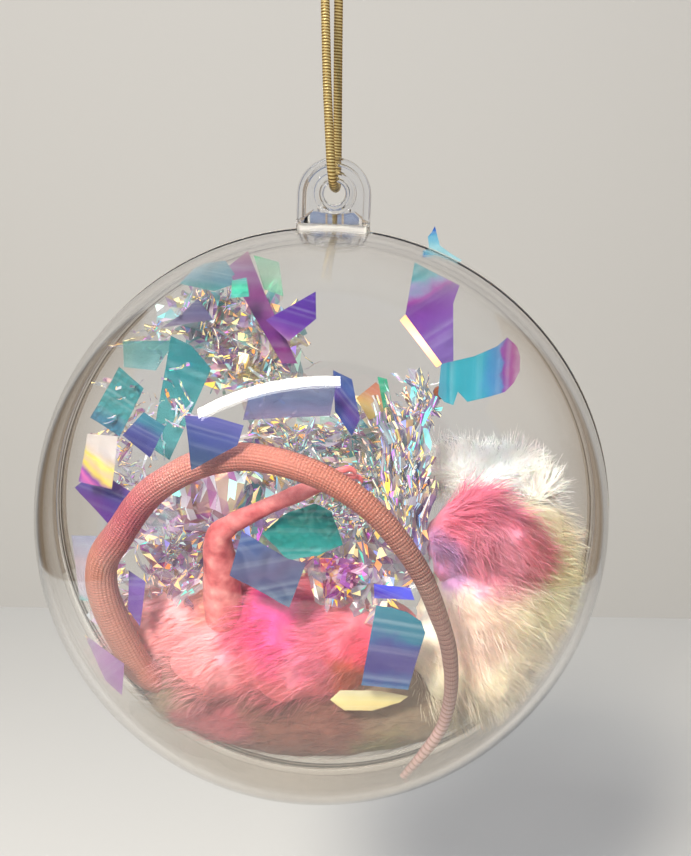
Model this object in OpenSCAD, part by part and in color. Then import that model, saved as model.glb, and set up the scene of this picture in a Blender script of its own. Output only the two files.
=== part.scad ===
// Two-part clear plastic ornament ball on a gold cord, filled with fur pieces and iridescent film.
// Frame: origin at the centre of the cord's top knot, +Z up, +X to the right, -Y towards the viewer. Millimetres.

/* [Ball] */
// outside diameter of the closed ball
ball_d = 100; // [96:1:104]
// thickness of the moulded shell wall
wall = 1.4; // [1.2:0.1:1.6]
// height of the raised band along the seam, on each half
band_w = 2; // [1.5:0.1:2.5]

/* [Hanging tab] */
// width of the hanging tab
tab_w = 12.6; // [11.6:0.1:13.6]
// height of the tab's top above the ball
tab_h = 12; // [11.5:0.1:12.5]
// diameter of the cord hole
hole_d = 3.8; // [3.6:0.1:4]
// how far the ball leans off plumb, in degrees
lean = 2.3; // [0:0.1:4]

/* [Cord] */
// thickness of the wrapped cord
cord_d = 1.5; // [1.3:0.1:1.6]

/* [Filling] */
// thickness of the film pieces
film_t = 0.2; // [0.1:0.05:0.3]
// thickness of the tail at its root
tail_d = 5.4; // [4.6:0.1:5.6]

/* [Hidden] */
$fn = 24;
R = ball_d / 2;
ri = R - wall;
gap = 0.15;
// the cord sits in the top of the hole; the ball turns about this line
drop = 40;
pivot_x = 0.4;
tab_top = R + tab_h;
hole_z = tab_top - 6;
cord_z = hole_z + hole_d / 2 - 0.75 - 0.15;
ball_x = pivot_x - cord_z * sin(lean);
ball_z = -drop - cord_z * cos(lean);
fur_r = 47.2;

// ---- helpers -------------------------------------------------------------------------------

// everything inside and on the ball is placed from the ball's centre
module in_ball() translate([ball_x, 0, ball_z]) children();

// a flat cut piece of film, w wide and h high, turned in its own plane, tipped back and turned about Z
module leaf(w, h, at, turn = 0, tip = 0, yaw = 0)
  in_ball() translate(at) rotate([0, 0, yaw]) rotate([tip, 0, 0]) rotate([0, turn, 0])
    cube([w, film_t, h], center = true);

// a round bar with a round far end, a little fuller than the bar so that the joint reads as flesh
module bar(a, b, ra, rb) {
  d = b - a;
  len = norm(d);
  translate(a) rotate([0, acos(d[2] / len), atan2(d[1], d[0])]) cylinder(h = len, r1 = ra, r2 = rb, $fn = 14);
  translate(b) sphere(r = rb + 0.15, $fn = 14);
}

// tube swept along route points that run roughly along the cord
function unit(v) = v / norm(v);
function side(t) = abs(t[0]) > 0.9 ? unit(cross(t, [0, 0, 1])) : unit(cross(t, [1, 0, 0]));
function tangent(p, i) = unit(p[min(i + 1, len(p) - 1)] - p[max(i - 1, 0)]);
function ring(p, i, r, n) =
  let (t = tangent(p, i), u = side(t), v = cross(t, u))
  [for (k = [0 : n - 1]) p[i] + r * (cos(360 * k / n) * u + sin(360 * k / n) * v)];
module tube(p, r, n = 8) {
  m = len(p);
  polyhedron(
    points = [for (i = [0 : m - 1]) each ring(p, i, r, n)],
    faces = concat(
      [[for (k = [0 : n - 1]) k]],
      [for (i = [0 : m - 2], k = [0 : n - 1])
        [i * n + k, (i + 1) * n + k, (i + 1) * n + (k + 1) % n, i * n + (k + 1) % n]],
      [[for (k = [n - 1 : -1 : 0]) (m - 1) * n + k]]));
}

// ---- cord ----------------------------------------------------------------------------------

// from the middle of the hole forwards, round the front of the tab and up to the knot
front_route = [[0.4, -0.05, -40], [0.4, -2.3, -40], [0.37, -3.45, -39.75], [0.33, -4.45, -39.1],
  [0.26, -5.1, -38.1], [0.15, -5.3, -36.8], [0, -5.2, -34.6], [-0.25, -4.7, -30], [-0.6, -3.9, -23],
  [-0.85, -3, -15], [-1.05, -2, -8], [-1.15, -1.4, -2.9]];
back_route = [[0.4, 0.05, -40], [0.4, 2.1, -40], [0.42, 3.25, -39.75], [0.45, 4.2, -39.1],
  [0.48, 4.85, -38.1], [0.5, 5.05, -36.8], [0.52, 4.9, -34.6], [0.6, 4.4, -30], [0.7, 3.6, -23],
  [0.82, 2.7, -15], [0.95, 1.9, -8], [1.05, 1.4, -2.9]];

module cord_front_strand() color("goldenrod") tube(front_route, cord_d / 2);
module cord_back_strand() color("goldenrod") tube(back_route, cord_d / 2);

module cord_knot() color("goldenrod") {
  sphere(r = 2.5, $fn = 24);
  bar([-0.8, 0.3, 1.6], [-2.2, 0.8, 8], 0.75, 0.75);
  bar([0.9, -0.2, 1.6], [1.9, -0.6, 9], 0.75, 0.75);
}

// ---- ball ----------------------------------------------------------------------------------

// one moulded half with its pole at +Z and its rim face at z = gap
module bowl() difference() {
  union() {
    sphere(r = R, $fn = 56);
    cylinder(r = R + 0.3, h = band_w, $fn = 56);
    translate([0, 0, band_w]) cylinder(r = R + 0.1, h = 0.7, $fn = 56);
  }
  sphere(r = ri, $fn = 56);
  translate([0, 0, gap - R - 1]) cube(2 * (R + 1), center = true);
}

// half tab standing on the rim, flat back at y = gap, drawn for the back half (+Y)
module half_tab() rotate([0, lean, 0]) difference() {
  union() {
    translate([0, gap, 0]) rotate([-90, 0, 0]) mirror([0, 1, 0]) linear_extrude(1.2) tab_outline(0);
    difference() {
      translate([0, gap, 0]) rotate([-90, 0, 0]) mirror([0, 1, 0]) linear_extrude(1.8) tab_outline(0);
      translate([0, gap, 0]) rotate([-90, 0, 0]) mirror([0, 1, 0]) linear_extrude(3) tab_outline(1.2);
    }
    translate([0, gap, hole_z]) rotate([-90, 0, 0]) cylinder(d = hole_d + 3.4, h = 2.1);
    translate([-tab_w / 2 + 0.4, gap, R - 1]) cube([tab_w - 0.8, 3, 2.4]);
  }
  translate([0, -1, hole_z]) rotate([-90, 0, 0]) cylinder(d = hole_d, h = 6);
}

module tab_outline(inset) {
  translate([-tab_w / 2 + inset, R - 0.8]) square([tab_w - 2 * inset, tab_h - tab_w / 2 + 0.8]);
  translate([0, tab_top - tab_w / 2]) circle(r = tab_w / 2 - inset);
}

// the wall behind the tab's foot stays hollow
module hollow() sphere(r = ri, $fn = 56);

module back_shell() color("lightsteelblue") in_ball() {
  rotate([-90, 0, 0]) bowl();
  difference() {
    half_tab();
    hollow();
  }
  // spigot that plugs into the front half
  rotate([-90, 0, 0]) difference() {
    union() {
      translate([0, 0, -1.4]) cylinder(r = ri - gap, h = 3, $fn = 56);
      translate([0, 0, gap]) cylinder(r = ri + 0.5, h = 1.45, $fn = 56);
    }
    translate([0, 0, -2]) cylinder(r = ri - 1.1, h = 5, $fn = 56);
  }
}

module front_shell() color("lightblue") in_ball() {
  rotate([90, 0, 0]) bowl();
  difference() {
    mirror([0, 1, 0]) half_tab();
    hollow();
    // room for the back half's spigot
    rotate([90, 0, 0]) cylinder(r = ri, h = 1.6, $fn = 56);
  }
}

// ---- fur, tail, leg and foot ---------------------------------------------------------------

module tail() color("darksalmon") in_ball() {
  k = tail_d / 5.4;
  translate([-28, -6, -30]) sphere(r = 2.75 * k, $fn = 14);
  bar([-28, -6, -30], [-32, -9, -26], 2.6 * k, 2.7 * k);
  bar([-32, -9, -26], [-36, -13, -14], 2.7 * k, 2.7 * k);
  bar([-36, -13, -14], [-32, -18, 0], 2.7 * k, 2.6 * k);
  bar([-32, -18, 0], [-21, -24, 11], 2.6 * k, 2.3 * k);
  bar([-21, -24, 11], [-9, -28, 14.5], 2.3 * k, 2.2 * k);
  bar([-9, -28, 14.5], [3.5, -31, 11.5], 2.2 * k, 2 * k);
  bar([3.5, -31, 11.5], [14, -31, 2.5], 2 * k, 1.7 * k);
  bar([14, -31, 2.5], [20, -28, -9.5], 1.7 * k, 1.4 * k);
  bar([20, -28, -9.5], [22.5, -22, -23], 1.4 * k, 1.1 * k);
  bar([22.5, -22, -23], [20.5, -16, -34.5], 1.1 * k, 0.9 * k);
  bar([20.5, -16, -34.5], [17, -12, -41], 0.9 * k, 0.8 * k);
}

module hind_leg() color("indianred") in_ball() {
  translate([-18.5, -8, -18]) sphere(r = 3.15, $fn = 14);
  bar([-18.5, -8, -18], [-18, -12, -6], 3, 2.6);
  bar([-18, -12, -6], [-18, -13.5, -0.5], 2.6, 2.1);
}

module hind_foot() color("palevioletred") in_ball() {
  // sole and heel, turned about the line from heel to toes
  translate([-15.4, -15, 3.8]) rotate([0, 74, -7.6]) rotate_extrude($fn = 16)
    polygon([[0, -1.4], [1, -1.2], [1.6, -0.2], [1.5, 4], [1.3, 8], [1.5, 14], [1.6, 16], [1, 17.4], [0, 17.8]]);
  toe([0, -17.6, 8.6], [6, -18.4, 11]);
  toe([0, -17.1, 8.2], [7, -16.6, 9.5]);
  toe([0, -16.6, 7.8], [6, -14.9, 7.7]);
}

// a slim round toe between two points
module toe(a, b) {
  d = b - a;
  translate(a) rotate([0, acos(d[2] / norm(d)), atan2(d[1], d[0])]) cylinder(h = norm(d), r = 0.75, $fn = 14);
}

// a lobed body turned about an X line: each lobe is [distance along X, radius]
module lobes(lobe_list) rotate([0, 90, 0]) rotate_extrude() intersection() {
  union() for (l = lobe_list) translate([0, l[0]]) circle(r = l[1]);
  translate([0, -60]) square([40, 120]);
}

module pink_fur() color("hotpink") in_ball() translate([0, 6, -25.5])
  lobes([[-24, 9.5], [-13, 12.8], [1, 12.4], [9.4, 8]]);

module bare_skin() color("rosybrown") in_ball() intersection() {
  sphere(r = fur_r, $fn = 36);
  translate([-28, -3, -60]) cube([47, 32, 20]);
}

module cream_fur() color("antiquewhite") in_ball() {
  translate([30, 7, -18]) sphere(r = 11.4);
  translate([33, 7, -5.5]) sphere(r = 11.5);
  translate([25, 8, -29]) sphere(r = 7.9);
}

module white_fur_wisp() color("snow") in_ball() {
  translate([23, 5, 10.8]) sphere(r = 3.4, $fn = 20);
  translate([29, 5, 11.8]) sphere(r = 4.2, $fn = 20);
  translate([35, 4, 11]) sphere(r = 4, $fn = 20);
}

module rose_fur() color("palevioletred") in_ball() translate([0, -10.2, -2.2])
  lobes([[21.4, 3.8], [25.5, 5.2], [31, 5.3]]);

// ---- small trim -----------------------------------------------------------------------------

module brown_bead() color("saddlebrown") in_ball() translate([20.4, -13.5, 23.1]) sphere(r = 1.2, $fn = 20);

// ---- iridescent film ------------------------------------------------------------------------

// pinched between the two rims and standing up outside the ball
module film_shard_in_seam() color("powderblue") in_ball() rotate([0, 24, 0]) difference() {
  translate([-2.4, -0.07, ri + 0.1]) cube([4.8, 0.14, 5.4]);
  translate([2.4, 0, R + 4.6]) rotate([0, 38, 0]) cube([4, 2, 5], center = true);
  translate([-2.4, 0, R + 4.6]) rotate([0, -38, 0]) cube([4, 2, 5], center = true);
}

module film_tall_strip() color("mediumpurple") leaf(7.2, 14, [20, -5, 33.5], -3, 0, 4);
module film_orange_edge() color("orange") leaf(10, 1.2, [17, -10, 31.5], 52);
module film_hammered_teal() color("teal") leaf(6.5, 9.5, [-31, -15, 21.5], 32);
module film_long_teal() color("turquoise") leaf(6.5, 18, [-25.9, -10, 23.3], 18, 4);
module film_teal_corner() color("mediumturquoise") leaf(7, 6, [-30.6, -5, 28], 6);
module film_violet_square() color("rebeccapurple") leaf(7.5, 7.5, [-27.2, -20, 15.1], 25);
module film_streaked() color("gold") leaf(7, 9, [-34.6, -17, 12], 10, 5);
module film_purple_square() color("purple") leaf(8, 7, [-36.6, -13, 5.8], 30);
module film_pale_square() color("lavender") leaf(5, 9, [-41, -6, -9], 4);
module film_lilac() color("plum") leaf(6.5, 9, [-34.4, -16, -23], 24, 0, -38);
module film_blue_square() color("slateblue") leaf(9, 8, [-14.2, -32, 17.8], -6, 10);
module film_purple_strip() color("darkviolet") leaf(4, 17, [-7.5, -6, 35.5], -20);
module film_purple_flag() color("blueviolet") leaf(7, 7, [-3.4, -10, 34.8], -28);
module film_mint() color("aquamarine") leaf(6, 4, [-8.5, -3.4, 41.8], 24);
module film_teal_chip() color("cadetblue") leaf(5, 3.5, [-19.5, -6, 39], -10);
module film_green_chip() color("mediumseagreen") leaf(3, 5, [-12.3, -12, 39], 8);
module film_centre_fold() color("royalblue") leaf(5, 11, [4.9, -14, 21.6], -14);
module film_clear_sheet() color("azure") leaf(13, 7, [-0.5, -19, 24.1], 4, 12);
module film_green_strip() color("seagreen") leaf(2.4, 11, [11.8, -9, 20.4], 8);
module film_yellow_leaf() color("khaki") leaf(6, 6, [9.2, -4, 20.1], 30);
module film_big_blue() color("dodgerblue") leaf(9.5, 15, [13.1, -20, -18.2], 6, 3);
module film_blue_band() color("mediumblue") leaf(9.5, 2.8, [13.8, -17, -8.9], 4);
module film_cream_oval() color("lemonchiffon") leaf(14, 4.5, [8.8, -15, -28.6], 2, 8);
module film_grey_square() color("lightslategray") leaf(12, 9, [-7.4, -20.4, -5.4], 25, 4);
module film_crinkled_teal() color("darkturquoise") leaf(13, 7, [-1.6, -12.5, -1], -8);
module film_violet_low() color("darkorchid") leaf(3.6, 9, [-29, -11.8, -10.6], -12);

// a triangle cut from a sheet
module film_violet_triangle() color("darkslateblue") in_ball() translate([-22, -3.6, 34])
  rotate([0, -20, 0]) rotate([90, 0, 0]) linear_extrude(film_t) polygon([[-4.2, -1.6], [4, -2.6], [1.4, 3]]);

// a strip that keeps the curl of the reel
module film_curled_strip() color("lightseagreen") in_ball() translate([26.4, -20, 26.3])
  rotate([0, -18, 0]) rotate([0, 0, 60]) translate([0, 0, -2.9])
    rotate_extrude(angle = 60, $fn = 36) translate([13, 0]) square([film_t, 5.8]);

// ribbons shredded from the same film, hanging together
module shred_bundle() color("lightcyan") {
  leaf(1.2, 26, [13.6, -14, 13.6], 1, 2);
  leaf(1.4, 28, [15.2, -13.4, 13.8], -2, 0, 20);
  leaf(1.2, 24, [16.8, -14.2, 12.6], 2, -2, -25);
  leaf(1.2, 22, [18, -13, 11.6], 0, 2, 30);
  // the pinch where they are caught together
  in_ball() translate([15.8, -13.6, 21.5]) cube([5.6, 2, 0.9], center = true);
}

module shred_mass() color("honeydew") {
  leaf(16, 1.6, [-5, 0, 10.6], 10, 20);
  leaf(14, 1.6, [-4, 2.4, 7], -24, -30);
  leaf(12, 1.6, [-8, -0.4, 11.4], 38, 10);
  leaf(1.6, 13, [-1, 3.2, 10], -12, 14, 30);
  leaf(1.4, 12, [-10, 3.6, 8], 20, -12, -20);
  // the crushed core that holds them
  in_ball() translate([-6, 1.6, 9.5]) sphere(r = 4.4);
}

module film_pink_crumple() color("violet") {
  leaf(7, 3, [3.7, -16, -6.6], -30);
  leaf(5, 2.6, [3.7, -15.8, -6.4], 40, 24);
}

module film_clear_crumple() color("whitesmoke") {
  leaf(7, 5, [5.9, -10, -10.6], 15, -20);
  leaf(4, 6, [6.2, -9.4, -10.8], -20, 20, 30);
}

module shred_tuft_left() color("thistle") {
  leaf(8, 4, [-27, -9, -5.4], -30, 12);
  leaf(7, 3, [-27.4, -8.6, -9], 24, -18);
  leaf(2, 8, [-25.6, -9.4, -7.6], 12, 8, 30);
}

// ---------------------------------------------------------------------------------------------

cord_knot();
cord_front_strand();
cord_back_strand();
front_shell();
back_shell();
tail();
hind_leg();
hind_foot();
pink_fur();
bare_skin();
cream_fur();
white_fur_wisp();
rose_fur();
brown_bead();
film_shard_in_seam();
film_tall_strip();
film_orange_edge();
film_curled_strip();
film_hammered_teal();
film_long_teal();
film_teal_corner();
film_violet_triangle();
film_violet_square();
film_streaked();
film_purple_square();
film_pale_square();
film_lilac();
film_blue_square();
film_purple_strip();
film_purple_flag();
film_mint();
film_teal_chip();
film_green_chip();
film_centre_fold();
film_clear_sheet();
film_green_strip();
film_yellow_leaf();
shred_bundle();
shred_mass();
film_big_blue();
film_blue_band();
film_cream_oval();
film_grey_square();
film_crinkled_teal();
film_pink_crumple();
film_clear_crumple();
shred_tuft_left();
film_violet_low();
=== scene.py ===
import math

import bmesh
import bpy
import numpy as np
from mathutils import Matrix, Vector, geometry, noise


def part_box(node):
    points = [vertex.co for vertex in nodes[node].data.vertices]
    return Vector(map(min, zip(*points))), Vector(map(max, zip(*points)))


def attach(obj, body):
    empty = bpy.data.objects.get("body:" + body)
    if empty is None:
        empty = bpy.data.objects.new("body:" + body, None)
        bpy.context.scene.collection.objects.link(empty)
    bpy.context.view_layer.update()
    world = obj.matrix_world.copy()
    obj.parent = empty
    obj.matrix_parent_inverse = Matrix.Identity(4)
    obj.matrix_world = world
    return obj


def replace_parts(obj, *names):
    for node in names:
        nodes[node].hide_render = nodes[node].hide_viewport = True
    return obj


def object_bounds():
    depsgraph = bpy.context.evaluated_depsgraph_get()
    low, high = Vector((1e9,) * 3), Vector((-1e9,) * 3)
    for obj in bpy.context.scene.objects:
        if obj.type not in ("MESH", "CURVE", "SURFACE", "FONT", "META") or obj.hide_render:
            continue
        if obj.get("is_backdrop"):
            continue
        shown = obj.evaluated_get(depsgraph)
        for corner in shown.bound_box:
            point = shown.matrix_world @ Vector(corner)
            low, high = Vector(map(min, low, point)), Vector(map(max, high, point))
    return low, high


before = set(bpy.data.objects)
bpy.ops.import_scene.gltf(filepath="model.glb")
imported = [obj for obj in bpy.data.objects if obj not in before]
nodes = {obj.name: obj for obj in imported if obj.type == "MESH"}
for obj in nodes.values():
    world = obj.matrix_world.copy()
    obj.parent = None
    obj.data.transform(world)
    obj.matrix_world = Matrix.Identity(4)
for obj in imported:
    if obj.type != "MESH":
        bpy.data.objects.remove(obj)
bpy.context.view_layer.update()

# ---- Where the ball hangs --------------------------------------------------------------------
# Both halves are round about their middle, so the shell's own box gives the ball's centre. All
# the filling is placed from there, in millimetres.
MM = 0.001
shell_low, shell_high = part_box("front_shell")
BAND_R = (shell_high.x - shell_low.x) / 2 / MM
BALL = Vector(((shell_low.x + shell_high.x) / 2, 0, shell_low.z + BAND_R * MM))
LEAN = math.radians(2.3)


def from_ball(x, y, z):
    return BALL + Vector((x, y, z)) * MM


def new_object(name, mesh):
    thing = bpy.data.objects.new(name, mesh)
    bpy.context.scene.collection.objects.link(thing)
    return thing


def mesh_of(name, points, faces, smooth=True):
    mesh = bpy.data.meshes.new(name)
    mesh.from_pydata([tuple(p) for p in points], [], faces)
    mesh.update()
    if smooth:
        mesh.polygons.foreach_set("use_smooth", [True] * len(mesh.polygons))
    return mesh


def faces_outward(mesh):
    work = bmesh.new()
    work.from_mesh(mesh)
    bmesh.ops.remove_doubles(work, verts=work.verts, dist=1e-7)
    bmesh.ops.recalc_face_normals(work, faces=work.faces)
    work.to_mesh(mesh)
    work.free()


def baked(thing):
    """The piece with its modifiers made final, as a plain mesh."""
    graph = bpy.context.evaluated_depsgraph_get()
    mesh = bpy.data.meshes.new_from_object(thing.evaluated_get(graph), depsgraph=graph)
    thing.modifiers.clear()
    old = thing.data
    thing.data = mesh
    mesh.name = old.name
    bpy.data.meshes.remove(old)
    return thing


def linear(code):
    """A paint colour written as hex, as the renderer's linear numbers."""
    out = []
    for i in (1, 3, 5):
        c = int(code[i:i + 2], 16) / 255
        out.append(c / 12.92 if c <= 0.04045 else ((c + 0.055) / 1.055) ** 2.4)
    return (*out, 1.0)


def add(tree, kind, options=None, **inputs):
    """One node in a tree. Options are its own settings. An input is a value, or a socket or node to join."""
    made = tree.nodes.new(kind)
    for key, value in (options or {}).items():
        setattr(made, key, value)
    for key, value in inputs.items():
        place = int(key[1:]) if key[0] == "n" and key[1:].isdigit() else key.replace("_", " ")
        if isinstance(value, bpy.types.Node):
            value = value.outputs[0]
        if isinstance(value, bpy.types.NodeSocket):
            tree.links.new(value, made.inputs[place])
        else:
            made.inputs[place].default_value = value
    return made


def new_finish(name):
    finish = bpy.data.materials.new(name)
    finish.use_nodes = True
    finish.node_tree.nodes.clear()
    return finish, finish.node_tree


def ramp(tree, factor, stops):
    made = add(tree, "ShaderNodeValToRGB", n0=factor)
    marks = made.color_ramp.elements
    while len(marks) < len(stops):
        marks.new(0.5)
    for mark, (place, code) in zip(marks, stops):
        mark.position = place
        mark.color = linear(code)
    return made


# ---- Camera ----------------------------------------------------------------------------------
# A hand-held close-up: a little to the right of the ball and a little above it, looking down.
eye = from_ball(16.9, -214.5, 45.7)
camera = bpy.data.objects.new("camera", bpy.data.cameras.new("camera"))
bpy.context.scene.collection.objects.link(camera)
camera.location = eye
camera.rotation_euler = (math.radians(90 - 8.07), 0, math.radians(3.41))
camera.data.lens = 51.7
camera.data.sensor_width = 36
camera.data.clip_start = 0.01
bpy.context.scene.camera = camera
bpy.context.scene.cycles.transparent_max_bounces = 40
bpy.context.scene.cycles.max_bounces = 20
bpy.context.scene.cycles.transmission_bounces = 20
bpy.context.scene.view_settings.view_transform = "Standard"

# ---- Hanging cord ----------------------------------------------------------------------------
# One length of elastic cord wrapped in flat gold yarn, doubled through the tab's hole and knotted
# at the top. The wrap is a fine slanting twist, with a painted highlight band on each turn and
# painted shade in the grooves between the turns.
CORD_D = 1.5


def smooth_path(points, steps):
    """Points on a rounded line through the route points, evenly spaced."""
    p = np.array(points, float)
    p = np.vstack([2 * p[0] - p[1], p, 2 * p[-1] - p[-2]])
    out = []
    for i in range(1, len(p) - 2):
        for t in np.linspace(0, 1, 24, endpoint=False):
            a, b, c, d = p[i - 1], p[i], p[i + 1], p[i + 2]
            out.append(0.5 * (2 * b + (c - a) * t + (2 * a - 5 * b + 4 * c - d) * t * t
                              + (3 * b - a - 3 * c + d) * t ** 3))
    out.append(p[-2])
    out = np.array(out)
    run = np.concatenate([[0], np.cumsum(np.linalg.norm(np.diff(out, axis=0), axis=1))])
    even = np.linspace(0, run[-1], steps)
    return np.stack([np.interp(even, run, out[:, k]) for k in range(3)], 1), run[-1]


def frames_along(path):
    """Two directions square to the path at each point, without twist."""
    ahead = np.gradient(path, axis=0)
    ahead /= np.linalg.norm(ahead, axis=1)[:, None]
    side = np.cross(ahead[0], (0.3, 0.9, 0.2))
    side /= np.linalg.norm(side)
    sides = []
    for t in ahead:
        side = side - t * side.dot(t)
        side /= np.linalg.norm(side)
        sides.append(side.copy())
    sides = np.array(sides)
    return sides, np.cross(ahead, sides)


def swept(name, path, radius, around):
    """A closed tube on a path. radius(step share, angle) gives its surface, in millimetres."""
    side, up = frames_along(path)
    steps = len(path)
    points, faces, uv = [], [], []
    for i in range(steps):
        for k in range(around):
            angle = 2 * math.pi * k / around
            r = radius(i / (steps - 1), angle)
            points.append(path[i] + r * (math.cos(angle) * side[i] + math.sin(angle) * up[i]))
    for i in range(steps - 1):
        for k in range(around):
            j = (k + 1) % around
            faces.append((i * around + k, i * around + j, (i + 1) * around + j, (i + 1) * around + k))
            uv += [(i, k), (i, k + 1), (i + 1, k + 1), (i + 1, k)]
    for i, turn in ((0, 1), (steps - 1, -1)):
        middle = len(points)
        points.append(path[i])
        for k in range(around):
            j = (k + 1) % around
            faces.append((middle, i * around + j, i * around + k)[::turn])
            uv += [(i, k)] * 3
    mesh = mesh_of(name, np.array(points) * MM, faces)
    layer = mesh.uv_layers.new(name="along")
    for loop, (i, k) in zip(layer.data, uv):
        loop.uv = (i / (steps - 1), k / around)
    faces_outward(mesh)
    return mesh


gold_cord, tree = new_finish("metallic wrapped cord")
# gold yarn, with a painted highlight band on each turn and painted shade in the grooves between the turns
twist = add(tree, "ShaderNodeUVMap", {"uv_map": "along"})
parts = add(tree, "ShaderNodeSeparateXYZ", n0=twist)
turns = add(tree, "ShaderNodeMath", {"operation": "MULTIPLY_ADD"}, n0=parts, n1=88.0, n2=parts.outputs[1])
saw = add(tree, "ShaderNodeMath", {"operation": "FRACT"}, n0=turns)
gold = ramp(tree, saw, [(0, "#523914"), (0.2, "#9c7e42"), (0.55, "#ecd898"), (0.85, "#a88648"),
                        (1, "#523914")])
skin = add(tree, "ShaderNodeBsdfPrincipled", Base_Color=gold, Metallic=0.75, Roughness=0.42)
add(tree, "ShaderNodeOutputMaterial", n0=skin)

front_route = [(0.4, -0.05, -40), (0.4, -2.3, -40), (0.37, -3.45, -39.75), (0.33, -4.45, -39.1),
               (0.26, -5.1, -38.1), (0.15, -5.3, -36.8), (0, -5.2, -34.6), (-0.25, -4.7, -30),
               (-0.6, -3.9, -23), (-0.85, -3, -15), (-1.05, -2, -8), (-1.1, -1.4, -2.9), (-0.6, -0.7, -0.6)]
back_route = [(0.4, 0.05, -40), (0.4, 2.1, -40), (0.42, 3.25, -39.75), (0.45, 4.2, -39.1),
              (0.48, 4.85, -38.1), (0.5, 5.05, -36.8), (0.52, 4.9, -34.6), (0.6, 4.4, -30),
              (0.7, 3.6, -23), (0.82, 2.7, -15), (0.95, 1.9, -8), (1.0, 1.4, -2.9), (0.55, 0.7, -0.6)]
knot_route = [(-2.2, 0.8, 8.2), (-1.2, 0.5, 4.6), (-0.5, 0.9, 2.4), (0.9, 1.5, 1), (1.7, 0, -0.4),
              (0.7, -1.7, -1.4), (-1.1, -1.5, -1.7), (-1.7, 0.2, -1.3), (-0.7, 1.7, -0.6), (1, 1.4, -1.2),
              (1.7, -0.2, -1.9), (0.4, -1.4, -2.4), (-1.1, -0.9, -2.2), (-1.4, 0.7, -0.6),
              (-0.3, 1.2, 0.8), (1, 0.3, 1.4), (0.7, -1.3, 0.8), (-0.6, -1.6, 1), (-1, -0.4, 2),
              (0.5, -0.4, 3.6), (1.7, -0.6, 6.4), (1.9, -0.6, 8.8)]


def wrapped(pitch_mm):
    def radius(share, angle, length=44.0):
        turn = 2 * math.pi * share * length / pitch_mm
        return CORD_D / 2 * (1 + 0.035 * math.sin(angle * 2 - turn * 2))
    return radius


def cord_strand(name, route, node):
    path, length = smooth_path(route, 420)
    strand = new_object(name, swept(name, path, wrapped(1.15), 14))
    strand.data.materials.append(gold_cord)
    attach(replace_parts(strand, node), "cord")
    return strand, path, length


front_strand, front_path, front_length = cord_strand("front_cord_strand", front_route, "cord_front_strand")
back_strand, back_path, back_length = cord_strand("back_cord_strand", back_route, "cord_back_strand")
path, _ = smooth_path(knot_route, 360)
knot = new_object("hanging_knot", swept("hanging_knot", path, wrapped(1.15), 12))
knot.data.materials.append(gold_cord)
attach(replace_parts(knot, "cord_knot"), "knot")

# ---- Clear ball ------------------------------------------------------------------------------
# Two moulded halves of clear polystyrene, 1.4 mm thick, plugged together at a beaded seam. Each
# half carries half of the hanging tab: a thin plate with a raised edge, a funnel round the cord
# hole and a slightly milky foot where it meets the ball.
OUTER = 50.0
INNER = 48.6
TAB_HALF_WIDTH = 6.3
HOLE_UP = 56.0
ARC_DOWN = 0.3
BEAD_LOW = 50.03
BEAD_HIGH = 50.4
BEADS_HALF = 2.7

clear_plastic, tree = new_finish("injection moulded clear polystyrene")
# clean clear walls, with a painted warm grey reflection darkening them where they turn edge on and painted
# shade darkening them towards the bottom; lamps shine straight through
slant = add(tree, "ShaderNodeLayerWeight", Blend=0.5)
painted_dark_edge = ramp(tree, slant.outputs[1], [(0.45, "#fdfdfd"), (0.75, "#ebe8e4"), (1.0, "#b4aaa0")])
place = add(tree, "ShaderNodeTexCoord").outputs["Object"]
height = add(tree, "ShaderNodeSeparateXYZ", n0=place).outputs[2]
# painted shade: the walls made darker towards the bottom of the ball
low_down = add(tree, "ShaderNodeMapRange", n0=height, n1=BALL.z - 0.022, n2=BALL.z - 0.044, n3=0.0, n4=1.0)
painted_bottom_shade = add(tree, "ShaderNodeMix", {"data_type": "RGBA", "blend_type": "MULTIPLY"}, n0=low_down,
            n6=painted_dark_edge, n7=linear("#e2dacf"))
wall = add(tree, "ShaderNodeBsdfPrincipled", Base_Color=painted_bottom_shade.outputs[2], Roughness=0.015, IOR=1.46,
           Transmission_Weight=1.0, Specular_IOR_Level=0.35)
lamp_path = add(tree, "ShaderNodeLightPath")
open_wall = add(tree, "ShaderNodeBsdfTransparent", Color=linear("#eef0f2"))
mixed = add(tree, "ShaderNodeMixShader", n0=lamp_path.outputs["Is Shadow Ray"], n1=wall,
            n2=open_wall)
add(tree, "ShaderNodeOutputMaterial", n0=mixed)

frosted_plastic, tree = new_finish("frosted clear polystyrene")
# the thick foot is a little milky, where the mould was left rough
wall = add(tree, "ShaderNodeBsdfPrincipled", Base_Color=linear("#faf8f4"), Roughness=0.45, IOR=1.15,
           Transmission_Weight=0.72)
lamp_path = add(tree, "ShaderNodeLightPath")
open_wall = add(tree, "ShaderNodeBsdfTransparent", Color=linear("#e8e8e6"))
mixed = add(tree, "ShaderNodeMixShader", n0=lamp_path.outputs["Is Shadow Ray"], n1=wall,
            n2=open_wall)
add(tree, "ShaderNodeOutputMaterial", n0=mixed)

seam_plastic, tree = new_finish("clear polystyrene moulded in fine beads")
# the stacked beads of the seam read as pale lines, with painted grey-brown shade between them where their
# faces turn edge on
slant = add(tree, "ShaderNodeLayerWeight", Blend=0.5)
painted_bead_shade = ramp(tree, slant.outputs[1], [(0.3, "#f6f4f0"), (0.8, "#d8d2ca"), (1.0, "#9c9288")])
wall = add(tree, "ShaderNodeBsdfPrincipled", Base_Color=painted_bead_shade, Roughness=0.08, IOR=1.46,
           Transmission_Weight=0.7)
open_wall = add(tree, "ShaderNodeBsdfTransparent", Color=painted_bead_shade)
mixed = add(tree, "ShaderNodeMixShader", n0=0.6, n1=wall, n2=open_wall)
add(tree, "ShaderNodeOutputMaterial", n0=mixed)


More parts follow.
